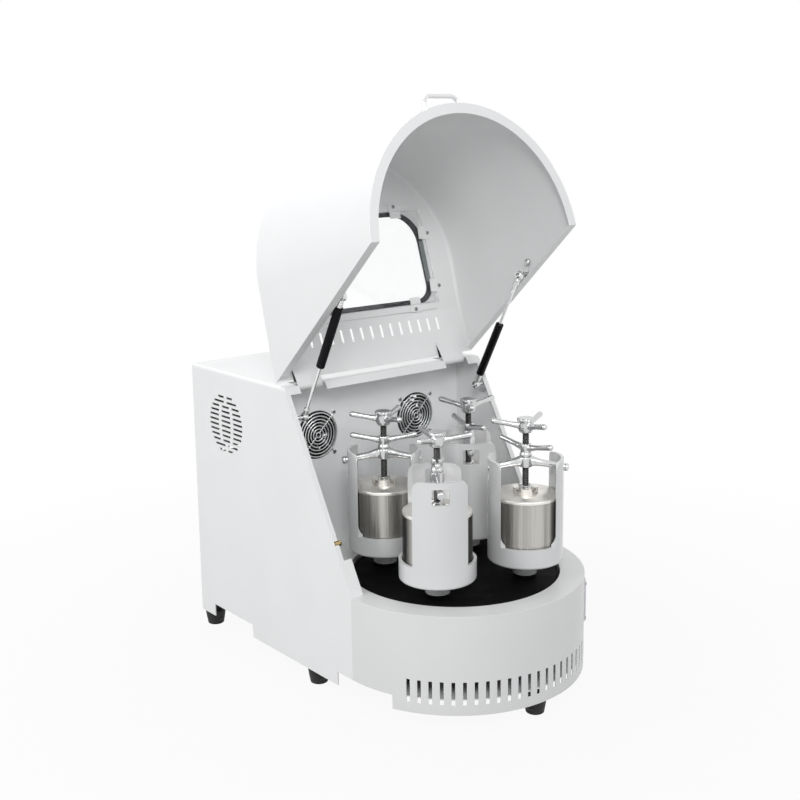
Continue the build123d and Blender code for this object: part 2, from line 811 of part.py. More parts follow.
# ================================================================ fans
def fan_place(side):
    return Pos(side * fan_side, drum_y + bulkhead_back, fan_height) * Rot(X=90)


def fan_frame():
    """Square frame behind the bulkhead. Local +Z looks into the chamber, 0 is the bulkhead's face."""
    z1 = -sheet
    z0 = z1 - fan_depth
    square = Pos(0, 0, z0) * extrude(RectangleRounded(fan_size, fan_size, fan_corner_radius), fan_depth)
    square -= post(fan_bore, z0 - 1, z1 + 1)
    bars = block(-fan_bore - 1, fan_bore + 1, -2, 2, z0, z0 + 3) + block(-2, 2, -fan_bore - 1, fan_bore + 1, z0, z0 + 3)
    spindle = post(3, z0, z1 - 6)
    return square + bars + post(fan_hub_radius, z0, z0 + 5) + spindle


def fan_guard():
    """Ring guard on the chamber side with four screw eyes."""
    z0, z1 = guard_stand_off, guard_stand_off + guard_wire
    step = (guard_outer_ring - guard_inner_ring) / (guard_ring_count - 1)
    rings = [ring(guard_inner_ring + i * step + guard_wire / 2, guard_inner_ring + i * step - guard_wire / 2, z0, z1)
             for i in range(guard_ring_count)]
    spokes = []
    for quarter in range(4):
        spoke = block(0, guard_ear, -guard_wire / 2, guard_wire / 2, z0 - guard_wire, z0)
        ear = Pos(guard_ear, 0, 0) * post(4, 0, z0)
        spokes.append(Rot(Z=45 + 90 * quarter) * (spoke + ear))
    return spokes[0] + spokes[1:] + rings


def fan_rotor():
    z1 = -sheet - 3
    z0 = z1 - fan_depth + 9
    hub = post(fan_hub_radius, z0, z1) - post(3 + ball_gap, z0 - 1, z1 - 2)
    tip = fan_bore - fan_tip_gap
    blades = []
    for i in range(fan_blade_count):
        blade = Pos(fan_hub_radius - 2, 0, (z0 + z1) / 2) * Rot(X=35) * Box(
            tip - fan_hub_radius + 1, 20, 1.6, align=(Align.MIN, Align.CENTER, Align.CENTER))
        blades.append(Rot(Z=i * 360 / fan_blade_count) * blade)
    blades = hub + blades
    return blades & post(tip, z0 - 1, z1)


# ================================================================ drive
def groove_level(index):
    """Bottom of one belt's groove on the sun pulley."""
    return sun_pulley_bottom + pulley_web + index * belt_level_pitch


def pulley(radius, z0, belt_width, web):
    """One belt groove between two flanges."""
    core = post(radius, z0, z0 + belt_width + 2 * belt_gap)
    top = z0 + belt_width + 2 * belt_gap
    return core + post(radius + pulley_flange, z0 - web, z0) + post(radius + pulley_flange, top, top + web)


def belt(radius_a, radius_b, distance, z0, width):
    """Endless flat belt round a pulley at the origin and one along +X."""
    def loop(extra):
        lean = degrees(atan2(radius_a - radius_b, distance))
        ra, rb = radius_a + extra, radius_b + extra
        side = radians(90 - lean)
        pa, pb = (ra * cos(side), ra * sin(side)), (distance + rb * cos(side), rb * sin(side))
        qa, qb = (pa[0], -pa[1]), (pb[0], -pb[1])
        big = ThreePointArc(pa, (-ra, 0), qa)
        small = ThreePointArc(qb, (distance + rb, 0), pb)
        return make_face([big, Line(qa, qb), small, Line(pb, pa)])
    band = loop(belt_gap + belt_thickness) - loop(belt_gap)
    return Pos(0, 0, z0 + belt_gap) * extrude(band, width)


def bearing_housing():
    """Stand, bearing tube and the fixed sun pulley, which the main shaft runs through."""
    pan_top = base_pan_height + sheet
    flange_top = housing_flange_bottom + housing_flange_thickness
    body = post(housing_flange_radius, housing_flange_bottom, flange_top)
    body += post(housing_radius, flange_top, sun_pulley_bottom)
    body += post(sun_pulley_radius, sun_pulley_bottom, sun_pulley_bottom + sun_pulley_height)
    for i in range(station_count + 1):
        web = groove_level(i) - pulley_web
        body += post(sun_pulley_radius + pulley_flange, web, web + pulley_web)
    for quarter in range(4):
        leg = Pos(housing_leg_orbit, 0, 0) * post(housing_leg_radius, pan_top, housing_flange_bottom)
        body += Rot(Z=45 + 90 * quarter) * leg
    body -= post(main_shaft_radius + shaft_fit, 0, wide)
    return Pos(0, drum_y, 0) * body


def main_shaft():
    top = disc_top - disc_thickness / 2
    shaft = post(main_shaft_radius, drive_level - pulley_web, top)
    return Pos(0, drum_y, 0) * (shaft + pulley(driven_pulley_radius, drive_level, drive_belt_width, pulley_web))


def sun_disc():
    """Turning table with an upright bearing housing under each of the four stations."""
    disc = post(disc_radius, disc_top - disc_thickness, disc_top)
    rim = disc.edges().filter_by(GeomType.CIRCLE).sort_by(Axis.Z)[-1]
    disc = chamfer(rim, 1.5)
    hub_bottom = disc_top - disc_thickness - disc_hub_drop
    disc += post(disc_hub_radius, hub_bottom, disc_top - disc_thickness + 1)
    disc -= post(main_shaft_radius + shaft_fit, hub_bottom - 1, disc_top - disc_thickness / 2 + shaft_fit)
    for k in range(station_count):
        disc += station_spot(k) * post(neck_radius, disc_top - 1, holder_bottom - neck_wall_gap)
        disc -= station_spot(k) * post(planet_shaft_radius + shaft_fit, hub_bottom, wide)
    return Pos(0, drum_y, 0) * disc


def station_spot(k):
    azimuth = radians(first_station + 360 / station_count * k)
    return Pos(orbit_radius * cos(azimuth), orbit_radius * sin(azimuth), 0)


def planet_belts():
    loops = []
    for k in range(station_count):
        loop = belt(sun_pulley_radius, planet_pulley_radius, orbit_radius, groove_level(k), planet_belt_width)
        loops.append(Pos(0, drum_y, 0) * Rot(Z=first_station + 360 / station_count * k) * loop)
    return Compound(children=loops)


def motor():
    """Upright motor on its plate and legs behind the bulkhead."""
    pan_top = base_pan_height + sheet
    plate_top = housing_flange_bottom + motor_plate
    half = motor_plate_half
    body = block(-half, half, -half, half, housing_flange_bottom, plate_top)
    spot = half - motor_leg_inset
    for x in (-spot, spot):
        for y in (-spot, spot):
            body += Pos(x, y, 0) * post(housing_leg_radius, pan_top, housing_flange_bottom)
    body -= post(motor_shaft_radius + pulley_flange, 0, plate_top + 1)
    barrel = post(motor_radius, plate_top, plate_top + motor_length)
    fins = []
    for i in range(motor_fin_count):
        fin = block(motor_radius - 1, motor_radius + motor_fin_depth, -motor_fin_width / 2,
                    motor_fin_width / 2, plate_top + 20, plate_top + motor_length - 40)
        fins.append(Rot(Z=i * 360 / motor_fin_count) * fin)
    cowl = post(motor_radius + motor_fin_depth, plate_top + motor_length - 40, plate_top + motor_length)
    body += [barrel, cowl] + fins
    body -= post(motor_shaft_radius + shaft_fit, 0, plate_top + 60)
    return Pos(0, drum_y + motor_behind, 0) * body


def motor_pulley():
    shaft = post(motor_shaft_radius, drive_level - pulley_web, housing_flange_bottom + motor_plate + 50)
    wheel = pulley(motor_pulley_radius, drive_level, drive_belt_width, pulley_web)
    return Pos(0, drum_y + motor_behind, 0) * (shaft + wheel)


def drive_belt():
    loop = belt(driven_pulley_radius, motor_pulley_radius, motor_behind, drive_level, drive_belt_width)
    return Pos(0, drum_y, 0) * Rot(Z=90) * loop


# ================================================================ jar stations
def holder():
    """Cup with two posts; its shaft and belt pulley run down through the disc. Posts along local X."""
    cup = post(holder_radius, holder_bottom, holder_top)
    foot_edge = cup.edges().filter_by(GeomType.CIRCLE).sort_by(Axis.Z)[0]
    cup = fillet(foot_edge, holder_foot_radius)
    cup -= post(holder_radius - holder_wall, holder_bottom + holder_floor, holder_top + 1)
    half = window_half_width
    window = RectangleRounded(2 * half, 2 * (holder_top - window_bottom), window_corner)
    cup -= Pos(0, wide / 2, holder_top) * Rot(X=90) * extrude(window, wide)
    cup &= post_outline()
    return cup - arm_windows()


def post_outline():
    """Rounds the top corners of both posts, seen along X."""
    reach = holder_radius + 1
    low = block(-reach, reach, -reach, reach, 0, window_bottom)
    chord = sqrt(holder_radius**2 - window_half_width**2)
    face = RectangleRounded(2 * chord, 2 * (holder_top - window_bottom) + 40, post_corner)
    tall = Rot(Z=90) * Rot(X=90) * extrude(face, wide)
    middle = holder_top - (holder_top - window_bottom) - 20
    return low + Pos(-wide / 2, 0, middle) * tall


def arm_windows():
    """Window through both posts for the arms of the yoke."""
    tall = arm_window_top - arm_window_bottom
    face = RectangleRounded(tall, arm_window_width, arm_window_corner)
    middle = (arm_window_top + arm_window_bottom) / 2
    return Pos(-wide / 2, 0, middle) * Rot(Y=90) * extrude(face, wide)


def planet_shaft(k):
    level = groove_level(k)
    wheel = pulley(planet_pulley_radius, level, planet_belt_width, pulley_web)
    return post(planet_shaft_radius, level, holder_bottom + 1) + wheel


def jar():
    low = holder_bottom + holder_floor
    body = post(jar_radius, low, jar_top)
    edges = body.edges().filter_by(GeomType.CIRCLE).sort_by(Axis.Z)
    body = chamfer(edges[0], jar_edge)
    return body - post(jar_radius - jar_wall, low + jar_floor, jar_top + 1)


def jar_lid():
    """Flat lid with a spigot and a notched boss that takes the clamp screw."""
    top = jar_top + lid_thickness
    plate = post(jar_radius, jar_top, top)
    plate = chamfer(plate.edges().filter_by(GeomType.CIRCLE).sort_by(Axis.Z)[-1], 1.0)
    plate += post(jar_radius - jar_wall - lid_plug_gap, jar_top - lid_plug_depth, jar_top)
    boss_top = top + boss_height
    boss = post(boss_radius, top, boss_top)
    boss -= post(boss_recess_radius, boss_top - boss_recess_depth, boss_top + 1)
    notch = block(-boss_radius - 1, boss_radius + 1, -boss_notch / 2, boss_notch / 2,
                  boss_top - boss_notch_depth, boss_top + 1)
    return plate + (boss - notch - Rot(Z=90) * notch)


def yoke():
    """Threaded hub with two sloping arms, whose knobs stand outside the posts."""
    body = post(yoke_hub_radius, yoke_hub_bottom, yoke_hub_top)
    edges = body.edges().filter_by(GeomType.CIRCLE)
    body = chamfer(edges, 1.5)
    fall = atan2(yoke_arm_root - yoke_arm_wall, holder_radius)
    run = (holder_radius + yoke_knob_length) / cos(fall)
    start = (holder_radius + seam_gap + yoke_knob_radius * sin(fall)) / cos(fall)
    arm = across(yoke_arm_radius, 0, run - 1)
    knob = across(yoke_knob_radius, start, run)
    knob = fillet(knob.edges().filter_by(GeomType.CIRCLE).sort_by(Axis.X)[-1], 3.0)
    side = Pos(0, 0, yoke_arm_root) * Rot(Y=degrees(fall)) * (arm + knob)
    body += [side, Rot(Z=180) * side]
    return body - post(spindle_radius + shaft_fit, 0, wide)


def clamp_screw():
    seat = jar_top + lid_thickness + boss_height - boss_recess_depth + screw_seat_gap
    foot = post(spindle_foot_radius, seat, seat + spindle_foot_height)
    foot = chamfer(foot.edges().filter_by(GeomType.CIRCLE), 1.0)
    return foot + post(spindle_radius, seat, spindle_top)


def star(hub_radius, z0, z1, root, count):
    """Hub on the spindle with round spokes that rise outwards to ball ends."""
    hub = post(hub_radius, z0, z1)
    hub = chamfer(hub.edges().filter_by(GeomType.CIRCLE), 1.5)
    reach = spoke_reach / cos(radians(spoke_rise)) - spoke_tip_radius
    rod = across(spoke_radius, 0, reach) + Pos(reach, 0, 0) * Sphere(spoke_tip_radius)
    spoke = Pos(0, 0, root) * Rot(Y=-spoke_rise) * rod
    spokes = [Rot(Z=360 / count * i) * spoke for i in range(count)]
    return (hub + spokes) - post(spindle_radius + shaft_fit, z0 - 1, wide)


def station(k, shape):
    """Put a piece drawn on the Z axis at a station, posts turned with the station."""
    azimuth = first_station + 360 / station_count * k + post_leads[k]
    return Pos(0, drum_y, 0) * station_spot(k) * Rot(Z=azimuth) * shape


def turned_star(k, azimuth, shape):
    return Pos(0, drum_y, 0) * station_spot(k) * Rot(Z=azimuth) * shape


# ================================================================ controls
def on_drum(azimuth):
    """Frame on the drum, local -Y pointing out, degrees round from the front."""
    return Pos(0, drum_y, 0) * Rot(Z=azimuth)


def button_hole(z):
    hole = Cylinder(button_radius + button_gap, 40, align=(Align.CENTER, Align.CENTER, Align.CENTER))
    return Pos(0, -drum_radius, z) * Rot(X=90) * hole


def drum_sector(outer, inner, a0, a1, z0, z1):
    """Curved slab on the drum between two azimuths."""
    far = 2 * drum_radius
    wedge = make_face(Polyline((0, 0), (far * sin(radians(a0)), -far * cos(radians(a0))),
                               (far * sin(radians(a1)), -far * cos(radians(a1))), close=True))
    return ring(outer, inner, z0, z1) & (Pos(0, 0, z0) * extrude(wedge, z1 - z0))


def control_panel():
    """Curved fascia on the drum with a sunk display."""
    outer = drum_radius + fascia_thickness
    fascia = drum_sector(outer, drum_radius, fascia_from, fascia_to, fascia_bottom, fascia_top)
    fascia -= drum_sector(outer + 1, outer - display_recess, display_from, display_to,
                          display_bottom, display_top)
    for z in (start_button_height, stop_button_height):
        fascia -= Rot(Z=button_azimuth) * button_hole(z)
    return Pos(0, drum_y, 0) * fascia


def button(z):
    """Round push button, sliding straight into the drum."""
    face = drum_radius + fascia_thickness + button_proud
    cap = Pos(0, -face, z) * Rot(X=-90) * post(button_radius, 0, button_depth)
    front = cap.edges().filter_by(GeomType.CIRCLE).sort_by(Axis.Y)[0]
    return on_drum(button_azimuth) * chamfer(front, 1.0)


def inlet_box(half_width, low, high, y0, y1):
    return block(inlet_side - half_width, inlet_side + half_width, y0, y1, low, high)


def rocker_axis():
    """The rocker's raised edge is the rearmost point of the machine."""
    lean = radians(rocker_turn / 2)
    reach = rocker_face * cos(lean) + rocker_half * sin(lean)
    return rear_y + inlet_stand_out - reach, inlet_height + rocker_lift


def power_inlet():
    """Appliance inlet on the rear panel with the socket facing back and the rocker's frame above."""
    x, z = inlet_side, inlet_height
    low, high = z - socket_drop - socket_tall / 2, z - socket_drop + socket_tall / 2
    flange = inlet_box(inlet_width / 2, z - inlet_tall / 2, z + inlet_tall / 2, rear_y, rear_y + inlet_flange)
    flange = fillet(flange.edges().filter_by(Axis.Y), 5.0)
    axis_y, axis_z = rocker_axis()
    half = socket_width / 2 + inlet_wall
    top = axis_z + rocker_half + 2 * inlet_wall
    body = flange + inlet_box(half, low - inlet_wall, top, rear_y - inlet_depth, rear_y + inlet_flange)
    open_face = rear_y + inlet_flange + 1
    body -= inlet_box(socket_width / 2, low, high, rear_y + inlet_flange - socket_depth, open_face)
    bay = rocker_half + 1.6
    body -= inlet_box(rocker_width / 2 + seam_gap, axis_z - bay, axis_z + bay, axis_y - rocker_half - 1, open_face)
    body -= across(rocker_pin + shaft_fit, x - half + 1, x + half - 1, axis_y, axis_z)
    for dx, dz in ((-7.0, -2.0), (0.0, 3.0), (7.0, -2.0)):
        middle = z - socket_drop + dz
        body += block(x + dx - 1, x + dx + 1, rear_y + inlet_flange - socket_depth - 1, rear_y - 2,
                      middle - 2, middle + 2)
    return body


def power_switch():
    """Rocker on two trunnions, drawn in its off place."""
    y, z = rocker_axis()
    face = rocker_face
    outline = [(face, rocker_half), (face - 2, 0), (face, -rocker_half), (-4, -5), (-4, 5)]
    body = side_profile(outline, rocker_width / 2)
    body += across(rocker_pin, -rocker_width / 2 - 1.5, rocker_width / 2 + 1.5)
    return Pos(inlet_side, y, z) * Rot(X=-rocker_turn / 2) * body


# ================================================================ write everything
save("cabinet_shell", cabinet_shell())
save("front_drum", drum_and_deck())
save("chassis_pan", chassis_pan())
save("bulkhead", bulkhead())
save("feet", feet())
save("stop_pins", stop_pins())
save("hood_shell", as_opened(hood_shell()))
save("window_pane", as_opened(window_pane()))
save("window_gasket", as_opened(window_gasket()))
save("window_clips", as_opened(window_clips()))
save("hood_handle", as_opened(hood_handle()))
cabinet_fittings = [cabinet_hinge(), mirror(cabinet_hinge(), about=Plane.YZ),
                    cabinet_ball_bracket(-1), cabinet_ball_bracket(1)]
save("cabinet_brackets", Compound(children=cabinet_fittings))
open_hinge = as_opened(hood_hinge())
hood_fittings = [open_hinge, mirror(open_hinge, about=Plane.YZ), hood_ball_bracket(-1), hood_ball_bracket(1)]
save("hood_brackets", Compound(children=hood_fittings))
save("left_strut_rod", on_strut(-1, strut_rod(True)))
save("left_strut_tube", on_strut(-1, strut_tube(True) + ball_stud(-1, strut_length)))
save("right_strut_tube", on_strut(1, strut_tube(False)))
save("right_strut_rod", on_strut(1, strut_rod(False) + ball_stud(1, strut_length)))
save("fan_guards", Compound(children=[fan_place(side) * piece for side in (-1, 1)
                                      for piece in (fan_frame(), fan_guard())]))
save("left_fan_rotor", fan_place(-1) * fan_rotor())
save("right_fan_rotor", fan_place(1) * fan_rotor())
save("bearing_housing", bearing_housing())
save("main_shaft", main_shaft())
save("sun_disc", sun_disc())
save("planet_belts", planet_belts())
save("motor", motor())
save("motor_pulley", motor_pulley())
save("drive_belt", drive_belt())
for k in range(station_count):
    number = k + 1
    save(f"jar_holder_{number}", station(k, holder() + planet_shaft(k)))
    save(f"jar_{number}", station(k, jar()))
    save(f"jar_lid_{number}", station(k, jar_lid()))
    save(f"clamp_yoke_{number}", station(k, yoke()))
    save(f"clamp_screw_{number}", station(k, clamp_screw()))
    lock_bar = star(lock_hub_radius, lock_bottom, lock_bottom + lock_height, lock_spoke_root, lock_spokes)
    save(f"lock_star_{number}", turned_star(k, lock_azimuths[k], lock_bar))
    top_star = star(star_hub_radius, star_bottom, spindle_top, star_spoke_root, star_spokes)
    save(f"star_handle_{number}", turned_star(k, star_azimuths[k], top_star))
save("control_panel", control_panel())
save("start_button", button(start_button_height))
save("stop_button", button(stop_button_height))
save("power_inlet", power_inlet())
save("power_switch", power_switch())
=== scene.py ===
from math import asin, cos, pi, radians, sin

import bmesh
import bpy
from mathutils import Matrix, Vector

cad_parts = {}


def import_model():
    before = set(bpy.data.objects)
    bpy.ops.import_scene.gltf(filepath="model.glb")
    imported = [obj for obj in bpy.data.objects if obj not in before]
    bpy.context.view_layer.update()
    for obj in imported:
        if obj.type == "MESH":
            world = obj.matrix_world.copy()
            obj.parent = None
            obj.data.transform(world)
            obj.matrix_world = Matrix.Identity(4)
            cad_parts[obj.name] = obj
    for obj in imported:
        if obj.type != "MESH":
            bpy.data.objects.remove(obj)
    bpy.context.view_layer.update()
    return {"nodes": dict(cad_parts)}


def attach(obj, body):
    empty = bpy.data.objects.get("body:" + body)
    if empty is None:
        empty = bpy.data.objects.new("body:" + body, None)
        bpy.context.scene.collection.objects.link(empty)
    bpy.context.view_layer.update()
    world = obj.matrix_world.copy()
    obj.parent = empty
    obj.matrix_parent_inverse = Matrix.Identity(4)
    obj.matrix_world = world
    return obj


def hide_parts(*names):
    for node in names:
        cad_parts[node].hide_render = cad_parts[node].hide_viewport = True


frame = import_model()
nodes = frame["nodes"]

# Metres, in the CAD model's frame: +Z up, +Y to the rear, origin on the floor.

# ---------------------------------------------------------------- sizes
DRUM_Y = -0.140               # drum axis, ahead of the footprint's centre

# Millimetres, with Y measured from the drum's axis.
HINGE_Y, HINGE_Z = 199.6, 537.0
OPEN_ANGLE = 104.6            # degrees from closed to open
ORBIT = 129.7                 # station centres from the drum's axis
FIRST_STATION = -144.3        # azimuth of the front station
POST_LEADS = (18.5, 16.0, 16.0, 16.0)
STAR_AZIMUTHS = (78.0, 18.5, 114.5, 21.5)
LOCK_AZIMUTHS = (50.0, 94.0, 76.5, 140.5)
STRUT_SIDE = 207.0
STRUT_LOW = (165.0, 488.0)    # lower ball
WALL_BOLT = (231.0, 46.0, 738.8)
STRUT_LENGTH = 257.45         # ball to ball with the hood open
STRUT_LEAN = 27.91            # forward from upright
LID_AZIMUTHS = (-84.0, 6.0, 6.0, 6.0)
STOP_PIN = (52.3, 285.6)
GUARD_RINGS = 7
GUARD_FIRST = 5.2
GUARD_STEP = 6.15

# ---------------------------------------------------------------- camera
CAMERA_PLACE = (-1.414583, -1.722165, 0.989217)
CAMERA_RIGHT = (0.77643521, -0.63005045, -0.01359377)
CAMERA_UP = (0.1294508, 0.13834226, 0.98188793)
CAMERA_AHEAD = (0.61675834, 0.76413209, -0.18897433)
SENSOR = 36.0
LENS = 55.1
SHIFT = (0.0094, -0.0449)

scene = bpy.context.scene
scene.view_settings.view_transform = "Standard"


# ================================================================ materials
def shader(name):
    """A new material, with its node tree and its Principled shader."""
    made = bpy.data.materials.new(name)
    made.use_nodes = True
    tree = made.node_tree
    return made, tree, tree.nodes["Principled BSDF"]


def node(tree, kind, **settings):
    """Add a node; settings named in capitals go to its sockets."""
    added = tree.nodes.new(kind)
    for key, value in settings.items():
        if key[0].isupper():
            added.inputs[key.replace("_", " ")].default_value = value
        else:
            setattr(added, key, value)
    return added


def link(tree, source, output, target, socket):
    tree.links.new(source.outputs[output], target.inputs[socket])


def place(tree, scale=(1, 1, 1)):
    """Object coordinates, stretched by scale."""
    coords = node(tree, "ShaderNodeTexCoord")
    mapping = node(tree, "ShaderNodeMapping", Scale=scale)
    link(tree, coords, "Object", mapping, "Vector")
    return mapping


def noise(tree, mapping, scale, detail=3.0, roughness=0.5):
    made = node(tree, "ShaderNodeTexNoise", Scale=scale, Detail=detail, Roughness=roughness)
    link(tree, mapping, "Vector", made, "Vector")
    return made


def ramp(tree, source, output, stops):
    """Colours or greys along a value, from (position, colour) pairs."""
    made = node(tree, "ShaderNodeValToRGB")
    elements = made.color_ramp.elements
    while len(elements) < len(stops):
        elements.new(0.5)
    for element, (position, colour) in zip(elements, stops):
        element.position = position
        element.color = (*colour, 1) if hasattr(colour, "__len__") else (colour, colour, colour, 1)
    link(tree, source, output, made, "Fac")
    return made


def bump(tree, bsdf, height, output, strength, distance):
    made = node(tree, "ShaderNodeBump", Strength=strength, Distance=distance)
    link(tree, height, output, made, "Height")
    link(tree, made, "Normal", bsdf, "Normal")
    return made


def tones(colour, spread):
    """A darker and a lighter tone of a colour."""
    return [tuple(min(1.0, c * k) for c in colour) for k in (1 - spread, 1 + spread)]


def painted(name, colour, rough=0.32, peel=0.10, spread=0.012, coat=0.25, specular=0.5):
    """Powder coat: orange peel, faint cloudiness in tone and gloss."""
    made, tree, bsdf = shader(name)
    mapping = place(tree)
    cloud = noise(tree, mapping, 9.0, 2.0)
    dark, light = tones(colour, spread)
    link(tree, ramp(tree, cloud, "Fac", [(0.3, dark), (0.7, light)]), "Color", bsdf, "Base Color")
    gloss = noise(tree, mapping, 30.0, 3.0)
    link(tree, ramp(tree, gloss, "Fac", [(0.3, rough * 0.88), (0.7, rough * 1.12)]), "Color", bsdf, "Roughness")
    grain = noise(tree, mapping, 900.0, 2.0)
    bump(tree, bsdf, grain, "Fac", peel, 0.0004)
    bsdf.inputs["Specular IOR Level"].default_value = specular
    bsdf.inputs["Coat Weight"].default_value = coat
    bsdf.inputs["Coat Roughness"].default_value = 0.25
    return made


def metal(name, colour, rough, stretch=(1, 1, 1), scale=400.0, depth=0.08, spread=0.06):
    """Bare metal with its machining lines drawn out across the stretched axis."""
    made, tree, bsdf = shader(name)
    lines = noise(tree, place(tree, stretch), scale, 3.0, 0.6)
    stain = noise(tree, place(tree), 22.0, 3.0)
    dark, light = tones(colour, spread)
    link(tree, ramp(tree, stain, "Fac", [(0.3, dark), (0.7, light)]), "Color", bsdf, "Base Color")
    link(tree, ramp(tree, lines, "Fac", [(0.25, rough * 0.75), (0.75, rough * 1.3)]), "Color", bsdf, "Roughness")
    bump(tree, bsdf, lines, "Fac", depth, 0.0003)
    bsdf.inputs["Metallic"].default_value = 1.0
    return made


def steel_with_painted_reflections(name, colour, rough):
    """Polished steel, turned on a lathe: upright bands of painted reflection in its colour, painted shade that darkens
    it where it turns from view, and a slight waviness across them.
    """
    made, tree, bsdf = shader(name)
    bands = noise(tree, place(tree, (1, 1, 0.02)), 75.0, 3.0, 0.62)
    fine = noise(tree, place(tree, (1, 1, 0.03)), 420.0, 2.0, 0.6)
    rings = noise(tree, place(tree, (0.02, 0.02, 1)), 1500.0, 2.0, 0.6)
    # painted reflection: the upright bands lighten and darken the steel's colour where reflections of the surroundings
    # would fall
    tone = ramp(tree, bands, "Fac", [(0.32, tuple(c * 0.62 for c in colour)), (0.5, colour),
                                     (0.64, tuple(min(1, c * 1.22) for c in colour))])
    # painted shade: the colour darkens towards the silhouette, where the surface turns away from the view
    edge = ramp(tree, node(tree, "ShaderNodeLayerWeight", Blend=0.5), "Facing",
                [(0.0, 1.0), (0.36, 0.94), (0.5, 0.42), (0.62, 0.05)])
    painted_light_colour = node(tree, "ShaderNodeMix", data_type="RGBA", blend_type="MULTIPLY")
    painted_light_colour.inputs[0].default_value = 1.0
    tree.links.new(tone.outputs["Color"], painted_light_colour.inputs[6])
    tree.links.new(edge.outputs["Color"], painted_light_colour.inputs[7])
    tree.links.new(painted_light_colour.outputs[2], bsdf.inputs["Base Color"])
    link(tree, ramp(tree, fine, "Fac", [(0.3, rough * 0.7), (0.7, rough * 1.5)]), "Color", bsdf, "Roughness")
    wave = node(tree, "ShaderNodeBump", Strength=0.35, Distance=0.004)
    link(tree, bands, "Fac", wave, "Height")
    line = node(tree, "ShaderNodeBump", Strength=0.06, Distance=0.0002)
    link(tree, rings, "Fac", line, "Height")
    link(tree, wave, "Normal", line, "Normal")
    link(tree, line, "Normal", bsdf, "Normal")
    bsdf.inputs["Metallic"].default_value = 1.0
    return made


def plastic(name, colour, rough=0.45, grain_scale=700.0, depth=0.15, spread=0.05, specular=0.5):
    """Moulded plastic or rubber with a fine grain and dusty variation."""
    made, tree, bsdf = shader(name)
    mapping = place(tree)
    dust = noise(tree, mapping, 35.0, 4.0)
    dark, light = tones(colour, spread)
    link(tree, ramp(tree, dust, "Fac", [(0.3, dark), (0.75, light)]), "Color", bsdf, "Base Color")
    link(tree, ramp(tree, dust, "Fac", [(0.3, rough * 0.9), (0.7, rough * 1.15)]), "Color", bsdf, "Roughness")
    bump(tree, bsdf, noise(tree, mapping, grain_scale, 2.0), "Fac", depth, 0.0003)
    bsdf.inputs["Specular IOR Level"].default_value = specular
    return made


def clear_sheet(name):
    """Clear acrylic with a faint cool tint and polished faces."""
    made, tree, bsdf = shader(name)
    haze = noise(tree, place(tree), 60.0, 3.0)
    link(tree, ramp(tree, haze, "Fac", [(0.35, (0.985, 0.995, 0.995)), (0.65, (0.995, 1.0, 1.0))]), "Color", bsdf, "Base Color")
    link(tree, ramp(tree, haze, "Fac", [(0.4, 0.01), (0.8, 0.03)]), "Color", bsdf, "Roughness")
    bsdf.inputs["Transmission Weight"].default_value = 1.0
    bsdf.inputs["IOR"].default_value = 1.45
    return made


WHITE = (0.86, 0.865, 0.865)
white_paint = painted("white_powder_coat", WHITE)
# painted light: the cabinet's white powder coat made lighter on the bulkhead and pan, to make up for the shade inside
# the chamber
bulkhead_painted_light = painted("white_coat_with_painted_light", (0.94, 0.945, 0.95), rough=0.38)
# painted shade: the cabinet's white powder coat made darker on the front drum, where less light falls
drum_painted_shade = painted("white_coat_with_painted_shade", (0.765, 0.765, 0.763))
black_paint = painted("black_disc_coat", (0.0035, 0.0035, 0.004), rough=0.6, peel=0.25, spread=0.25, coat=0.0, specular=0.05)
motor_paint = painted("motor_enamel", (0.16, 0.21, 0.27), rough=0.4, peel=0.3, spread=0.08)
strut_paint = painted("strut_black_enamel", (0.003, 0.003, 0.004), rough=0.35, peel=0.05, spread=0.15, coat=0.0, specular=0.12)
holder_metal = painted("holder_satin_coat", (0.70, 0.703, 0.705), rough=0.22, peel=0.06, spread=0.02, coat=0.5)
# painted reflection bands and painted shade at the silhouettes are part of this steel's colour
jar_metal = steel_with_painted_reflections("jar_steel_painted_reflections", (0.44, 0.43, 0.405), 0.34)
lid_metal = metal("lid_faced_steel", (0.82, 0.80, 0.76), 0.34, (1, 1, 1), 300.0, 0.06)
clamp_metal = metal("clamp_bright_steel", (0.62, 0.625, 0.63), 0.2, (1, 1, 1), 300.0, 0.06)
shaft_metal = metal("ground_shaft_steel", (0.5, 0.5, 0.51), 0.25, (1, 1, 8), 200.0)
zinc_metal = metal("zinc_plated_steel", (0.62, 0.63, 0.63), 0.28, (1, 1, 1), 260.0, 0.1)
chrome = metal("polished_chrome", (0.8, 0.8, 0.81), 0.08, (1, 1, 1), 200.0, 0.02, 0.02)
wire_metal = metal("bright_guard_wire", (0.8, 0.81, 0.82), 0.3, (1, 1, 1), 300.0, 0.05)
brass = metal("turned_brass", (0.62, 0.47, 0.24), 0.14, (1, 1, 1), 300.0, 0.08)
cast_metal = metal("machined_casting", (0.32, 0.33, 0.34), 0.45, (1, 1, 1), 180.0, 0.4, 0.15)
rubber = plastic("black_rubber", (0.014, 0.014, 0.014), 0.6, 500.0, 0.25, 0.25, 0.35)
gasket_rubber = plastic("gasket_rubber", (0.012, 0.014, 0.02), 0.5, 400.0, 0.2, 0.2, 0.4)
belt_rubber = plastic("belt_rubber", (0.02, 0.02, 0.02), 0.7, 600.0, 0.3, 0.2, 0.3)
black_plastic = plastic("black_moulding", (0.012, 0.012, 0.012), 0.45, 800.0, 0.15, 0.2)
fascia_film = plastic("fascia_film", (0.62, 0.635, 0.66), 0.42, 900.0, 0.08, 0.02)
green_plastic = plastic("green_button", (0.02, 0.32, 0.07), 0.25, 500.0, 0.03)
red_plastic = plastic("red_button", (0.5, 0.02, 0.015), 0.25, 500.0, 0.03)
clear = clear_sheet("clear_acrylic")
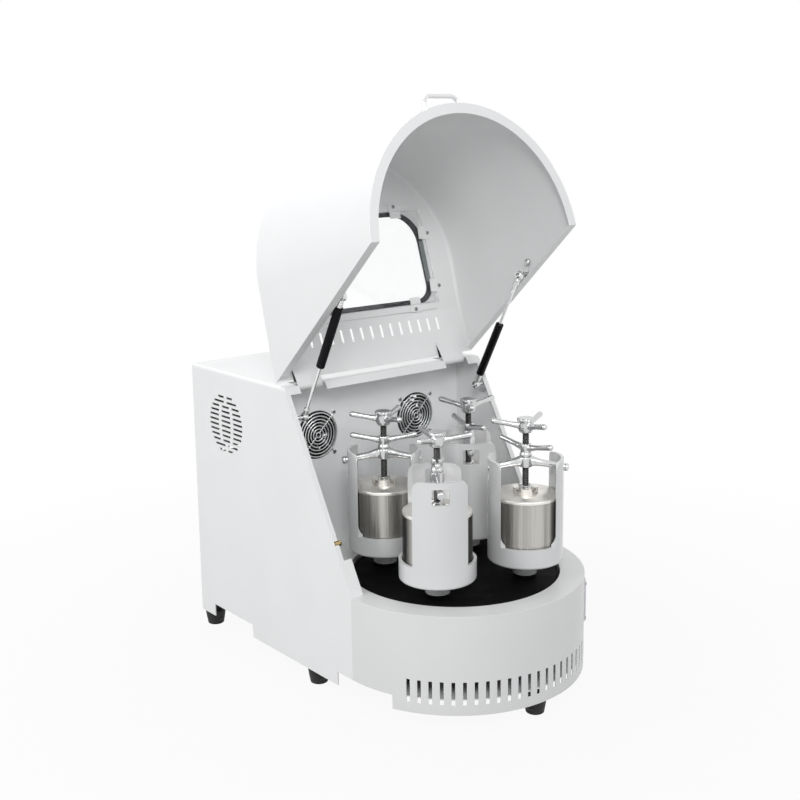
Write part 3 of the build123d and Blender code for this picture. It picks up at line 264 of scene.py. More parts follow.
spindle_metal = metal("oiled_thread_steel", (0.07, 0.07, 0.07), 0.26, (1, 1, 1), 300.0, 0.08, 0.2)
screw_metal = metal("screw_steel", (0.26, 0.26, 0.27), 0.3, (1, 1, 1), 300.0, 0.08, 0.1)
fitting_metal = metal("bright_rod_end", (0.7, 0.7, 0.7), 0.18, (1, 1, 1), 260.0, 0.06, 0.06)
gasket_grey = plastic("gasket_grey", (0.2, 0.225, 0.23), 0.4, 400.0, 0.2, 0.15, 0.5)
display_glass = plastic("display_window", (0.03, 0.012, 0.012), 0.12, 500.0, 0.02, 0.1)

FINISHES = {
    "cabinet_shell": white_paint,
    "front_drum": drum_painted_shade,
    "chassis_pan": bulkhead_painted_light,
    "bulkhead": bulkhead_painted_light,
    "feet": rubber,
    "stop_pins": brass,
    "hood_shell": white_paint,
    "window_pane": clear,
    "window_gasket": gasket_rubber,
    "window_clips": holder_metal,
    "hood_handle": chrome,
    "cabinet_brackets": zinc_metal,
    "hood_brackets": zinc_metal,
    "left_strut_rod": chrome,
    "right_strut_rod": chrome,
    "left_strut_tube": strut_paint,
    "right_strut_tube": strut_paint,
    "fan_guards": wire_metal,
    "left_fan_rotor": black_plastic,
    "right_fan_rotor": black_plastic,
    "bearing_housing": cast_metal,
    "main_shaft": shaft_metal,
    "sun_disc": black_paint,
    "planet_belts": belt_rubber,
    "motor": motor_paint,
    "motor_pulley": cast_metal,
    "drive_belt": belt_rubber,
    "control_panel": fascia_film,
    "start_button": green_plastic,
    "stop_button": red_plastic,
    "power_inlet": black_plastic,
    "power_switch": black_plastic,
}
for k in (1, 2, 3, 4):
    FINISHES[f"jar_holder_{k}"] = holder_metal
    FINISHES[f"jar_{k}"] = jar_metal
    FINISHES[f"jar_lid_{k}"] = lid_metal
    FINISHES[f"clamp_yoke_{k}"] = clamp_metal
    FINISHES[f"clamp_screw_{k}"] = shaft_metal
    FINISHES[f"star_handle_{k}"] = clamp_metal
    FINISHES[f"lock_star_{k}"] = clamp_metal

for name, finish in FINISHES.items():
    mesh = nodes[name].data
    for i in range(max(1, len(mesh.materials))):
        if i < len(mesh.materials):
            mesh.materials[i] = finish
        else:
            mesh.materials.append(finish)


# ================================================================ mesh tools
# Pieces are drawn in millimetres, with Y measured from the drum's axis, and scaled as they are made.
ROW = Matrix.Scale(0.001, 4) @ Matrix.Translation((0, 1000 * DRUM_Y, 0))
ABOUT_HINGE = Matrix.Translation((0, HINGE_Y, HINGE_Z))
OPENED = ROW @ ABOUT_HINGE @ Matrix.Rotation(radians(-OPEN_ANGLE), 4, "X") @ ABOUT_HINGE.inverted()


def turn(degrees_round, axis="Z"):
    return Matrix.Rotation(radians(degrees_round), 4, axis)


def move(x, y, z):
    return Matrix.Translation((x, y, z))


def lathe(bm, profile, where=Matrix(), steps=40, closed=False):
    """Turn (radius, height) points about local Z; a radius of 0 closes that end."""
    rows = []
    for radius, height in profile:
        count = 1 if radius < 1e-6 else steps
        row = []
        for i in range(count):
            angle = 2 * pi * i / steps
            row.append(bm.verts.new(where @ Vector((radius * cos(angle), radius * sin(angle), height))))
        rows.append(row)
    pairs = list(zip(rows, rows[1:]))
    if closed:
        pairs.append((rows[-1], rows[0]))
    for low, high in pairs:
        for i in range(steps):
            j = (i + 1) % steps
            corners = [low[i % len(low)], low[j % len(low)], high[j % len(high)], high[i % len(high)]]
            corners = list(dict.fromkeys(corners))
            if len(corners) > 2:
                bm.faces.new(corners)


def hoop(bm, radius, wire, where=Matrix(), steps=64, sides=8):
    """A ring of round wire about local Z."""
    circle = [(radius + wire * cos(2 * pi * i / sides), wire * sin(2 * pi * i / sides)) for i in range(sides)]
    lathe(bm, circle, where, steps, closed=True)


def aim(start, end):
    """A frame at start whose Z axis points at end, and the distance."""
    run = Vector(end) - Vector(start)
    return Matrix.Translation(start) @ run.to_track_quat("Z", "Y").to_matrix().to_4x4(), run.length


def bar(bm, start, end, radius, where=Matrix(), steps=16):
    """A round bar with softened ends."""
    frame_at, length = aim(start, end)
    soft = radius * 0.25
    lathe(bm, [(0, 0), (radius - soft, 0), (radius, soft), (radius, length - soft),
               (radius - soft, length), (0, length)], where @ frame_at, steps)


def slab(bm, low, high, where=Matrix(), soft=0.0):
    """A box between two corners, its edges rounded by soft."""
    made = bmesh.ops.create_cube(bm, size=1.0)["verts"]
    middle = (Vector(low) + Vector(high)) / 2
    size = Vector(high) - Vector(low)
    for vert in made:
        vert.co = where @ (middle + Vector([c * s for c, s in zip(vert.co, size)]))
    if soft:
        edges = list({edge for vert in made for edge in vert.link_edges})
        bmesh.ops.bevel(bm, geom=edges, offset=soft, segments=3, profile=0.5, affect="EDGES")


def strip(bm, path, low, high, thickness, axis=0, where=Matrix()):
    """A bent sheet: (y, z) points of its middle line, carried from low to high along X."""
    rows = []
    for i, point in enumerate(path):
        before, after = Vector(path[max(i - 1, 0)]), Vector(path[min(i + 1, len(path) - 1)])
        along = (after - before).normalized()
        off = Vector((-along.y, along.x)) * thickness / 2
        corners = [Vector(point) + off, Vector(point) - off]
        rows.append([bm.verts.new(where @ Vector((x, c.x, c.y))) for x in (low, high) for c in corners])
    for a, b in zip(rows, rows[1:]):
        for i, j in ((0, 1), (1, 3), (3, 2), (2, 0)):
            bm.faces.new((a[i], a[j], b[j], b[i]))
    for row in (rows[0], rows[-1]):
        bm.faces.new((row[0], row[1], row[3], row[2]))


def round_end(radius, end, steps=6):
    """Profile points of a ball end that finishes at end."""
    return [(radius * cos(pi / 2 * i / steps), end - radius + radius * sin(pi / 2 * i / steps)) for i in range(steps)] \
        + [(0, end)]


def thread(bm, radius, pitch, z0, z1, where=Matrix(), steps=20, depth=0.95):
    """A screw thread with a true helix, clamped between two heights, over a solid core."""
    core = radius - depth
    lathe(bm, [(0, z0), (core, z0), (core, z1), (0, z1)], where, steps)
    turns = int((z1 - z0) / pitch) + 2
    roots, crests = [], []
    for i in range(turns * steps + 1):
        angle = 2 * pi * i / steps
        height = z0 - pitch + pitch * i / steps
        for row, r, z in ((roots, core - 0.02, height), (crests, radius, height + pitch / 2)):
            z = min(max(z, z0 + 0.01), z1 - 0.01)
            row.append(bm.verts.new(where @ Vector((r * cos(angle), r * sin(angle), z))))
    for i in range(turns * steps):
        bm.faces.new((roots[i], roots[i + 1], crests[i + 1], crests[i]))
        if i + 1 + steps <= turns * steps:
            bm.faces.new((crests[i], crests[i + 1], roots[i + 1 + steps], roots[i + steps]))
    bmesh.ops.dissolve_degenerate(bm, dist=0.0005, edges=bm.edges)


def cast(bm, voxel=0.9, rounds=4):
    """Melt overlapping forms into one smooth casting."""
    rough = bpy.data.meshes.new("rough")
    bm.to_mesh(rough)
    bm.free()
    holder = bpy.data.objects.new("rough", rough)
    scene.collection.objects.link(holder)
    melt = holder.modifiers.new("melt", "REMESH")
    melt.mode = "VOXEL"
    melt.voxel_size = voxel
    soften_it = holder.modifiers.new("soften", "SMOOTH")
    soften_it.factor = 0.5
    soften_it.iterations = rounds
    graph = bpy.context.evaluated_depsgraph_get()
    melted = bpy.data.meshes.new_from_object(holder.evaluated_get(graph))
    bpy.data.objects.remove(holder)
    bpy.data.meshes.remove(rough)
    return melted


def drawn(mesh):
    """A fresh copy of a mesh to place."""
    bm = bmesh.new()
    bm.from_mesh(mesh)
    return bm


def piece(name, bm, finish, body, slot, *replaced, where=ROW, crease=35):
    """Make a named object of a mesh drawn in millimetres, riding on a body."""
    bmesh.ops.transform(bm, matrix=where, verts=bm.verts)
    bmesh.ops.recalc_face_normals(bm, faces=bm.faces)
    for face in bm.faces:
        face.smooth = True
    for edge in bm.edges:
        if len(edge.link_faces) == 2 and edge.calc_face_angle(0) > radians(crease):
            edge.smooth = False
    mesh = bpy.data.meshes.new(name)
    bm.to_mesh(mesh)
    bm.free()
    mesh.materials.append(finish)
    made = bpy.data.objects.new(name, mesh)
    scene.collection.objects.link(made)
    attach(made, body)
    if replaced:
        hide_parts(*replaced)
    return made


def soften(width, *names):
    """Round a CAD piece's sharp edges a little, as paint and machining leave them."""
    for name in names:
        cad = nodes[name]
        join = cad.modifiers.new("join", "WELD")
        join.merge_threshold = 0.000002
        edges = cad.modifiers.new("edges", "BEVEL")
        edges.width = width / 1000
        edges.segments = 2
        edges.limit_method = "ANGLE"
        edges.angle_limit = radians(38)
        edges.use_clamp_overlap = True
        shade = cad.modifiers.new("shade", "WEIGHTED_NORMAL")
        shade.keep_sharp = True


# ================================================================ clamps on the jar stations
def station(k):
    azimuth = radians(FIRST_STATION + 90 * (k - 1))
    return ROW @ move(ORBIT * cos(azimuth), ORBIT * sin(azimuth), 0)


def spoke_profile(root, waist, tip, length):
    """A cast spoke: swollen where it leaves the hub, slim, then a little fuller to its ball end."""
    return [(0, 0), (root, 0), (root - 0.3, 9), (root - 1.2, 13), (waist + 0.8, 18), (waist + 0.2, 23), (waist, 29),
            (waist + 0.1, length - 20)] + round_end(tip, length)


def star_casting():
    bm = bmesh.new()
    lathe(bm, [(0, 463.3), (10.4, 463.3), (12.0, 465), (13.4, 469), (13.9, 474), (13.6, 480), (13.5, 482.6),
               (15.2, 483.8), (15.4, 488.2), (14.6, 489.4), (0, 489.4)])
    for i in range(3):
        lathe(bm, spoke_profile(6.9, 4.75, 5.35, 62.3), move(0, 0, 473) @ turn(120 * i) @ turn(79, "Y"), 24)
    return cast(bm)


def lock_casting():
    bm = bmesh.new()
    lathe(bm, [(0, 420.3), (10.2, 420.3), (11, 421.4), (10.6, 424.6), (9.4, 427.5), (9.2, 430), (10.2, 434),
               (10.6, 438), (10.2, 442), (9.2, 443.3), (0, 443.3)])
    for i in range(2):
        lathe(bm, spoke_profile(6.9, 4.75, 5.3, 62.3), move(0, 0, 434) @ turn(180 * i) @ turn(79, "Y"), 24)
    return cast(bm)


def yoke_casting():
    bm = bmesh.new()
    lathe(bm, [(0, 401), (10.6, 401), (11.8, 402.2), (12.4, 407), (12.4, 413), (11.6, 418), (10.6, 420), (0, 420)])
    fall = 90 + 11.39
    arm = [(0, 0), (9.8, 0), (9.6, 9), (8.8, 14), (7.5, 20), (6.5, 27), (6.05, 36), (6.0, 66.0)]
    knob = [(6.0, 69.8), (6.9, 70.6), (7.1, 72), (7.0, 75), (6.0, 77), (4.2, 77.6), (0, 77.7)]
    flush = [(5.8, 67.6), (5.0, 68.4), (0, 68.5)]
    for i, end in enumerate((knob, flush)):
        lathe(bm, arm + end, move(0, 0, 413) @ turn(180 * i) @ turn(fall, "Y"), 24)
    return cast(bm)


def clamps():
    star, lock, yoke = star_casting(), lock_casting(), yoke_casting()
    for k in (1, 2, 3, 4):
        place_at = station(k)
        lead = FIRST_STATION + 90 * (k - 1) + POST_LEADS[k - 1]
        piece(f"star_casting_{k}", drawn(star), clamp_metal, f"star_{k}", "clamp_steel", f"star_handle_{k}",
              where=place_at @ turn(STAR_AZIMUTHS[k - 1]), crease=60)
        piece(f"lock_casting_{k}", drawn(lock), clamp_metal, f"lock_{k}", "clamp_steel", f"lock_star_{k}",
              where=place_at @ turn(LOCK_AZIMUTHS[k - 1]), crease=60)
        piece(f"yoke_casting_{k}", drawn(yoke), clamp_metal, f"yoke_{k}", "clamp_steel", f"clamp_yoke_{k}",
              where=place_at @ turn(lead), crease=60)
        bm = bmesh.new()
        thread(bm, 6.0, 3.0, 364.8, 487.6)
        piece(f"spindle_thread_{k}", bm, spindle_metal, f"screw_{k}", "shaft", f"clamp_screw_{k}",
              where=place_at, crease=25)
        bm = bmesh.new()
        lathe(bm, [(0, 358.3), (9.6, 358.3), (10.8, 359.2), (11, 360), (11, 363), (10.4, 364), (8.6, 364.7),
                   (7.4, 365), (7.0, 366.4), (6.2, 367), (0, 367)])
        piece(f"spindle_foot_{k}", bm, clamp_metal, f"screw_{k}", "shaft", where=place_at)


def arc(radius, a0, a1, steps):
    return [(radius * cos(a0 + (a1 - a0) * i / steps), radius * sin(a0 + (a1 - a0) * i / steps))
            for i in range(steps + 1)]


def lid_mesh():
    """Lid with a fine groove under its rim, a spigot, and a boss cut into four merlons."""
    bm = bmesh.new()
    lathe(bm, [(0, 341.2), (51.0, 341.2), (51.5, 341.8), (51.5, 347), (59.6, 347), (60, 347.5), (60, 351.4),
               (59.5, 352.4), (58.5, 352.9), (23.4, 353), (22.2, 353.6), (22.0, 354.6), (22.0, 357.2), (12.0, 357.2),
               (11.6, 357), (0, 357)], steps=96)
    for i in range(4):
        wide, narrow = asin(5.4 / 22.0), asin(5.4 / 12.0)
        start, end = pi / 2 * i + wide, pi / 2 * (i + 1) - wide
        start_in, end_in = pi / 2 * i + narrow, pi / 2 * (i + 1) - narrow
        plan = arc(22.0, start, end, 12) + arc(12.0, end_in, start_in, 8)
        low = [bm.verts.new((x, y, 356.6)) for x, y in plan]
        high = [bm.verts.new((x, y, 365.0)) for x, y in plan]
        walls = [bm.faces.new((low[a], low[b], high[b], high[a]))
                 for a, b in zip(range(len(plan)), list(range(1, len(plan))) + [0])]
        top = bm.faces.new(high)
        bm.faces.new(low[::-1])
        uprights = [low[0], low[12], low[13], low[-1]]
        edges = [edge for edge in top.edges]
        edges += [edge for vert in uprights for edge in vert.link_edges
                  if abs(edge.verts[0].co.z - edge.verts[1].co.z) > 5]
        bmesh.ops.bevel(bm, geom=edges, offset=1.1, segments=3, profile=0.5, affect="EDGES")
    return bm


def stations():
    for k in (1, 2, 3, 4):
        piece(f"castellated_lid_{k}", lid_mesh(), lid_metal, f"planet_{k}", "jar_steel", f"jar_lid_{k}",
              where=station(k) @ turn(LID_AZIMUTHS[k - 1]))
        bm = bmesh.new()
        lathe(bm, [(20.75, 206.2), (21.0, 205.6), (21.3, 205.8), (21.7, 206.6), (21.7, 230.6), (22.6, 231.8),
                   (24.6, 232.3), (20.75, 232.3)], steps=56, closed=True)
        piece(f"neck_collar_{k}", bm, holder_metal, f"planet_{k}", "holder_steel", where=station(k))


# ================================================================ fans
def fan_frame_mesh():
    """Moulded square frame with its round bore, motor mount and arms. Local +Z looks into the chamber."""
    bm = bmesh.new()
    steps, half, corner = 96, 46.0, 5.0
    z1, z0 = -2.0, -27.0
    outer, inner = [], []
    for i in range(steps):
        angle = 2 * pi * i / steps
        c, s = cos(angle), sin(angle)
        reach = half / max(abs(c), abs(s))
        x, y = c * reach, s * reach
        for _ in range(3):
            if abs(x) > half - corner and abs(y) > half - corner:
                cx, cy = (half - corner) * (1 if x > 0 else -1), (half - corner) * (1 if y > 0 else -1)
                away = Vector((x - cx, y - cy)).normalized() * corner
                x, y = cx + away.x, cy + away.y
        outer.append((x, y))
        inner.append((43.0 * c, 43.0 * s))
    loops = []
    for ring, z, grow in ((outer, z0, -0.6), (outer, z0 + 0.6, 0), (outer, z1 - 0.6, 0), (outer, z1, -0.6),
                          (inner, z1, 0.8), (inner, z1 - 1.0, 0), (inner, z0 + 1.0, 0), (inner, z0, 0.8)):
        loops.append([bm.verts.new((x * (1 + grow / 44), y * (1 + grow / 44), z)) for x, y in ring])
    for a, b in zip(loops, loops[1:] + loops[:1]):
        for i in range(steps):
            j = (i + 1) % steps
            bm.faces.new((a[i], a[j], b[j], b[i]))
    lathe(bm, [(43.4, -2.4), (43.0, -2.0), (43.0, 0.4), (43.4, 0.9), (45.8, 0.9), (46.2, 0.5), (46.2, 0.05), (43.6, 0.05),
               (43.6, -2.4)], steps=96, closed=True)
    lathe(bm, [(0, z0), (18, z0), (19, z0 + 1), (19, z0 + 5), (18, z0 + 6), (0, z0 + 6)])
    for i in range(4):
        slab(bm, (15, -2, z0 + 0.2), (44, 2, z0 + 4), turn(45 + 90 * i), 0.6)
    return bm


def guard_mesh():
    """Finger guard of round wire: rings welded to four spokes that end in screw eyes."""
    bm = bmesh.new()
    for i in range(GUARD_RINGS):
        hoop(bm, GUARD_FIRST + i * GUARD_STEP, 1.2, move(0, 0, 3.6))
    for i in range(4):
        spin = turn(45 + 90 * i)
        bar(bm, (3, 0, 2.2), (51, 0, 2.2), 1.0, spin, 10)
        hoop(bm, 3.4, 1.0, spin @ move(54.6, 0, 1.3), 24)
    return bm


def guard_screws():
    bm = bmesh.new()
    for i in range(4):
        lathe(bm, [(2.3, 0), (2.3, 2.3), (2.9, 2.4), (3.1, 2.9), (2.6, 3.6), (1.4, 3.9), (1.3, 3.1), (0, 3.1)],
              turn(45 + 90 * i) @ move(54.6, 0, 0), 20)
    return bm


def rotor_mesh():
    """Hub with seven cambered, twisted blades."""
    bm = bmesh.new()
    z1 = -5.0
    z0 = z1 - 16
    lathe(bm, [(3.4, z0), (15.6, z0), (17, z0 + 1), (17, z1 - 1.4), (15.8, z1), (9, z1), (8.6, z1 - 0.5), (0, z1 - 0.5),
               ], steps=48)
    radial, chord = 8, 7
    for blade in range(7):
        sheets = []
        for face in (0.55, -0.55):
            grid = []
            for i in range(radial + 1):
                t = i / radial
                r = 16.4 + t * 24.4
                pitch_angle = radians(40 - 12 * t)
                width = 17.0 + 4.0 * t
                row = []
                for j in range(chord + 1):
                    u = j / chord - 0.5
                    sweep_on = u * width * cos(pitch_angle) + 5.0 * t
                    camber = 1.8 * (1 - 4 * u * u)
                    rise = u * width * sin(pitch_angle) + camber
                    thin = face * (1 - (2 * u)**4) + 0.02 * face
                    angle = radians(360 / 7 * blade) + sweep_on / r
                    z = (z0 + z1) / 2 + rise + thin - 0.6
                    row.append(bm.verts.new((r * cos(angle), r * sin(angle), min(max(z, z0 + 0.1), z1 - 0.1))))
                grid.append(row)
            sheets.append(grid)
        top, low = sheets
        for i in range(radial):
            for j in range(chord):
                bm.faces.new((top[i][j], top[i][j + 1], top[i + 1][j + 1], top[i + 1][j]))
                bm.faces.new((low[i][j], low[i + 1][j], low[i + 1][j + 1], low[i][j + 1]))
        for i in range(radial):
            bm.faces.new((top[i][0], top[i + 1][0], low[i + 1][0], low[i][0]))
            bm.faces.new((top[i][chord], low[i][chord], low[i + 1][chord], top[i + 1][chord]))
        for j in range(chord):
            bm.faces.new((top[0][j], low[0][j], low[0][j + 1], top[0][j + 1]))
            bm.faces.new((top[radial][j], top[radial][j + 1], low[radial][j + 1], low[radial][j]))
    return bm


def fans():
    for side, x in (("left", -120), ("right", 120)):
        at = ROW @ move(x, 250, 425) @ turn(90, "X")
        replaced = ["fan_guards"] if side == "left" else []
        piece(f"{side}_fan_frame", fan_frame_mesh(), black_plastic, "cabinet", "rotor", where=at)
        piece(f"{side}_fan_guard", guard_mesh(), wire_metal, "cabinet", "guard", *replaced, where=at)
        piece(f"{side}_guard_screws", guard_screws(), screw_metal, "cabinet", "guard", where=at)
        piece(f"{side}_fan_blades", rotor_mesh(), black_plastic, f"{side}_fan", "rotor", f"{side}_fan_rotor", where=at)


# ================================================================ gas struts
def strut_frame(side):
    return ROW @ move(side * STRUT_SIDE, STRUT_LOW[0], STRUT_LOW[1]) @ turn(STRUT_LEAN, "X")


def strut_sleeve(bm, rod_end, blind_end):
    """Pressure tube: rolled over the guide at the rod's end, domed at the other, with a groove."""
    way = 1 if blind_end > rod_end else -1
    profile = [(3.15, rod_end + way * 5), (3.15, rod_end), (5.2, rod_end), (7.0, rod_end + way * 0.4),
               (7.7, rod_end + way * 1.2), (7.8, rod_end + way * 2.4), (7.8, rod_end + way * 6),
               (7.2, rod_end + way * 6.7), (7.2, rod_end + way * 7.9), (7.8, rod_end + way * 8.6),
               (7.8, blind_end - way * 1.6), (7.3, blind_end - way * 0.6), (6.0, blind_end), (0, blind_end)]
    lathe(bm, profile, steps=40)


def strut_eye(bm, eye_height, way):
    """Rod end: round eye across the machine and a threaded shank; its ball and lock nut are drawn by other functions.
    """
    across_x = move(0, 0, eye_height) @ turn(90, "Y")
    lathe(bm, [(5.25, -4), (7.2, -4), (8, -3.2), (8, 3.2), (7.2, 4), (5.25, 4), (5.05, 3), (5.05, -3)],
          across_x, 32, closed=True)
    lathe(bm, [(0, 6.6), (3.6, 6.6), (4.9, 8.4), (4.9, 15), (0, 15)],
          move(0, 0, eye_height) @ (turn(0) if way > 0 else turn(180, "X")), 24)


def nut(bm, at, height, radius=6.2, where=Matrix()):
    """Hexagon nut, chamfered top and bottom."""
    lathe(bm, [(0, at), (radius - 0.9, at), (radius, at + 0.7), (radius, at + height - 0.7),
               (radius - 0.9, at + height), (0, at + height)], where, 6)


def ball_and_stud(bm, eye_height, side):
    ball = [(5 * sin(pi * i / 12), -5 * cos(pi * i / 12)) for i in range(13)]
    ball[0], ball[-1] = (0, -5), (0, 5)
    outwards = move(0, 0, eye_height) @ turn(90 * side, "Y")
    lathe(bm, ball, outwards, 24)
    lathe(bm, [(0, 3), (3.5, 3), (3.5, 7.1), (3.2, 7.5), (0, 7.5)], outwards, 20)


def struts():
    length = STRUT_LENGTH
    for side, name in ((-1, "left"), (1, "right")):
        at = strut_frame(side)
        upper_tube = side < 0
        tube_body = f"{name}_strut_upper" if upper_tube else f"{name}_strut_lower"
        rod_body = f"{name}_strut_lower" if upper_tube else f"{name}_strut_upper"
        tube_eye, rod_eye = (length, 0.0) if upper_tube else (0.0, length)
        way = -1 if upper_tube else 1
        blind, mouth = (length - 21, length - 146.5) if upper_tube else (26, 147)
        bm = bmesh.new()
        strut_sleeve(bm, mouth, blind)
        piece(f"{name}_strut_sleeve", bm, strut_paint, tube_body, "strut_black", f"{name}_strut_tube", where=at)
        bm = bmesh.new()
        strut_eye(bm, tube_eye, way)
        neck = sorted((tube_eye + way * 12, blind - way * 0.05))
        lathe(bm, [(0, neck[0]), (5.0, neck[0]), (5.5, neck[0] + 0.6), (5.5, neck[1] - 0.4), (5.1, neck[1]), (0, neck[1])],
              steps=24)
        if upper_tube:
            ball_and_stud(bm, length, side)
        piece(f"{name}_strut_tube_end", bm, fitting_metal, tube_body, "zinc_steel", where=at)
        bm = bmesh.new()
        z0, z1 = sorted((rod_eye - way * 6.6, mouth + way * (-10)))
        lathe(bm, [(0, z0), (3.05, z0), (3.05, z1), (0, z1)], steps=24)
        piece(f"{name}_strut_bright_rod", bm, chrome, rod_body, "chrome", f"{name}_strut_rod", where=at)
        bm = bmesh.new()
        strut_eye(bm, rod_eye, -way)
        low_edge = rod_eye - way * 15
        nut(bm, min(low_edge, low_edge - way * 4.4), 4.4, 5.6)
        if not upper_tube:
            ball_and_stud(bm, length, side)
        piece(f"{name}_strut_rod_end", bm, fitting_metal, rod_body, "zinc_steel", where=at)


# ================================================================ hood fittings
def clip_screws():
    """Button-head screws of the window's clips, drawn with the hood closed."""
    bm = bmesh.new()
    spots = [(102.0, -114.6, 546.9), (115.0, 89.4, 546.9), (180.3, -58.9, 550.4), (187.3, 48.1, 550.4)]
    for x, y, z in spots + [(-x, y, z) for x, y, z in spots]:
        lathe(bm, [(3.5, 0.05), (3.6, -0.8), (2.9, -1.9), (2.0, -2.35), (1.75, -2.35), (1.6, -1.75), (0, -1.75)],
              move(x, y, z), 18)
    return bm


def rounded_outline(corners, radii, steps=10):
    """Points round a polygon whose corners are filleted."""
    points = []
    count = len(corners)
    for i, (corner, radius) in enumerate(zip(corners, radii)):
        here = Vector(corner)
        back = (Vector(corners[i - 1]) - here).normalized()
        ahead = (Vector(corners[(i + 1) % count]) - here).normalized()
        half = back.angle(ahead) / 2
        centre = here + (back + ahead).normalized() * radius / sin(half)
        start = here + back * radius / (sin(half) / cos(half)) - centre
        end = here + ahead * radius / (sin(half) / cos(half)) - centre
        sweep_round = start.angle_signed(end)
        for j in range(steps + 1):
            spun = Matrix.Rotation(-sweep_round * j / steps, 2) @ start
            points.append(centre + spun)
    return points


def gasket_band():
    """Rubber edging between pane and hood, following the opening, drawn with the hood closed."""
    bm = bmesh.new()
    loops = []
    for side, end, z in ((-1.2, -1.2, 551.4), (-1.5, -1.5, 550.9), (-1.0, -1.0, 550.45), (4.6, 3.0, 550.45),
                         (5.4, 3.6, 550.75), (6.2, 4.2, 550.45), (12.6, 6.8, 550.45), (13.2, 7.2, 550.8),
                         (13.2, 7.2, 551.9), (-1.0, -1.0, 551.9)):
        rear, front = 72.0 + end, -97.0 - end
        corners = [(-156.0 - side, rear), (156.0 + side, rear), (147.5 + side, front), (-147.5 - side, front)]
        radii = [28.0 + end, 28.0 + end, 60.0 + end, 60.0 + end]
        loops.append([bm.verts.new((p.x, p.y, z)) for p in rounded_outline(corners, radii)])
    for a, b in zip(loops, loops[1:] + loops[:1]):
        for i in range(len(a)):
            j = (i + 1) % len(a)
            bm.faces.new((a[i], a[j], b[j], b[i]))
    return bm


def gasket_sides():
    """Foam facing on the gasket's straight sides, where it shows grey, drawn with the hood closed."""
    bm = bmesh.new()
    for side in (-1, 1):
        run = [(x * side, y) for x, y in ((159.4, 38.0), (157.4, -1.0), (155.2, -43.0))]
        rows = []
        for x, y in run:
            rows.append([bm.verts.new((x + side * a, y, z)) for a, z in
                         ((-2.6, 550.44), (-2.0, 550.1), (6.6, 550.1), (7.4, 550.44))])
        for a, b in zip(rows, rows[1:]):
            for i in range(4):
                j = (i + 1) % 4
                bm.faces.new((a[i], a[j], b[j], b[i]))
        bm.faces.new(rows[0])
        bm.faces.new(rows[-1][::-1])
    return bm


def frame_strips():
    """Flat strips fixed round the pane, standing just off the hood's skin, drawn with the hood closed."""
    bm = bmesh.new()
    slab(bm, (-171, 80.5, 548.6), (171, 93.5, 551.4), soft=0.4)
    slab(bm, (-140, -118.5, 548.6), (140, -105.5, 551.4), soft=0.4)
    return bm


def clip_plates():
    """Stepped clips that hold the pane: a foot on the skin and a tongue over the gasket."""
    bm = bmesh.new()
    on_strip = [(-8.5, 547.7), (4.8, 547.7), (6.9, 545.2), (20.0, 545.2)]
    on_skin = [(-10.0, 551.2), (4.4, 551.2), (6.9, 545.2), (22.3, 545.2)]
    spots = [(102.0, -111.3, 13.0, 0.0, on_strip), (115.0, 86.3, 12.5, 180.0, on_strip),
             (175.3, -58.9, 13.0, 93.8, on_skin), (182.3, 48.1, 13.0, 93.8, on_skin)]
    for x, y, half, spin, path in spots + [(-x, y, half, -spin, path) for x, y, half, spin, path in spots]:
        strip(bm, path, -half, half, 1.5, where=move(x, y, 0) @ turn(spin))
    return bm


def wall_bolts():
    """Button heads beside the struts' upper brackets, drawn with the hood open."""
    bm = bmesh.new()
    for side in (-1, 1):
        lathe(bm, [(0, 0.5), (6.4, 0.5), (6.6, -0.5), (6.2, -3.2), (4.6, -5.2), (2.6, -5.8), (2.3, -4.4), (0, -4.4)],
              move(side * WALL_BOLT[0], WALL_BOLT[1], WALL_BOLT[2]) @ turn(90 * side, "Y"), 24)
    return bm


def gap_shade_wedges():
    """Dark wedges of painted shade that fill the gaps at the hinge covers' sides, drawn with the hood open."""
    bm = bmesh.new()
    outline = [(15.6, 34.4), (-4.2, 7.9), (6.6, 8.2)]
    for low in (146.8, 197.6, -199.2, -148.4):
        rings = [[bm.verts.new((x, HINGE_Y + y, HINGE_Z + z)) for y, z in outline] for x in (low, low + 1.6)]
        bm.faces.new(rings[0])
        bm.faces.new(rings[1][::-1])
        for i in range(3):
            j = (i + 1) % 3
            bm.faces.new((rings[0][i], rings[0][j], rings[1][j], rings[1][i]))
    return bm


def hinge_covers():
    """Bent sheet arms that carry the hood round its hinge barrels, drawn with the hood open."""
    bm = bmesh.new()
    r = 7.0
    path = [(18.4, 39.6), (16.4, 36.6), (13.2, 32.6), (6.8, 24.8), (1.8, 18.2), (-1.9, 12.6), (-4.7, 7.6)]
    for i in range(13):
        angle = radians(145 + 90 * i / 12)
        path.append((r * cos(angle), r * sin(angle)))
    path = [(HINGE_Y + y, HINGE_Z + z) for y, z in path]
    for low, high in ((146.0, 200.0), (-200.0, -146.0)):
        strip(bm, path, low, high, 1.5)
    return bm


def leaf_screws():
    """Pan heads that hold the cabinet's hinge leaves from inside."""
    bm = bmesh.new()
    for side in (-1, 1):
        for x in (152, 173, 194):
            lathe(bm, [(0, 0), (3.2, 0), (3.4, -0.8), (2.6, -1.8), (0.9, -2.2), (0, -1.4)],
                  move(side * x, 234, 537), 16)
    return bm


def stop_pins():
    """Turned brass pins that the hood's sides come down over, each with a collar and a groove."""
    bm = bmesh.new()
    y, z = STOP_PIN
    profile = [(0, 216.6), (3.6, 216.6), (4.9, 217.6), (5.4, 219.4), (5.4, 222.4), (4.3, 223.2), (4.3, 224.6),
               (5.4, 225.4), (5.4, 230.4), (4.2, 231.4), (4.0, 232.9), (0, 232.9)]
    for side in (-1, 1):
        lathe(bm, profile, move(0, y, z) @ turn(90 * side, "Y"), 28)
    return bm


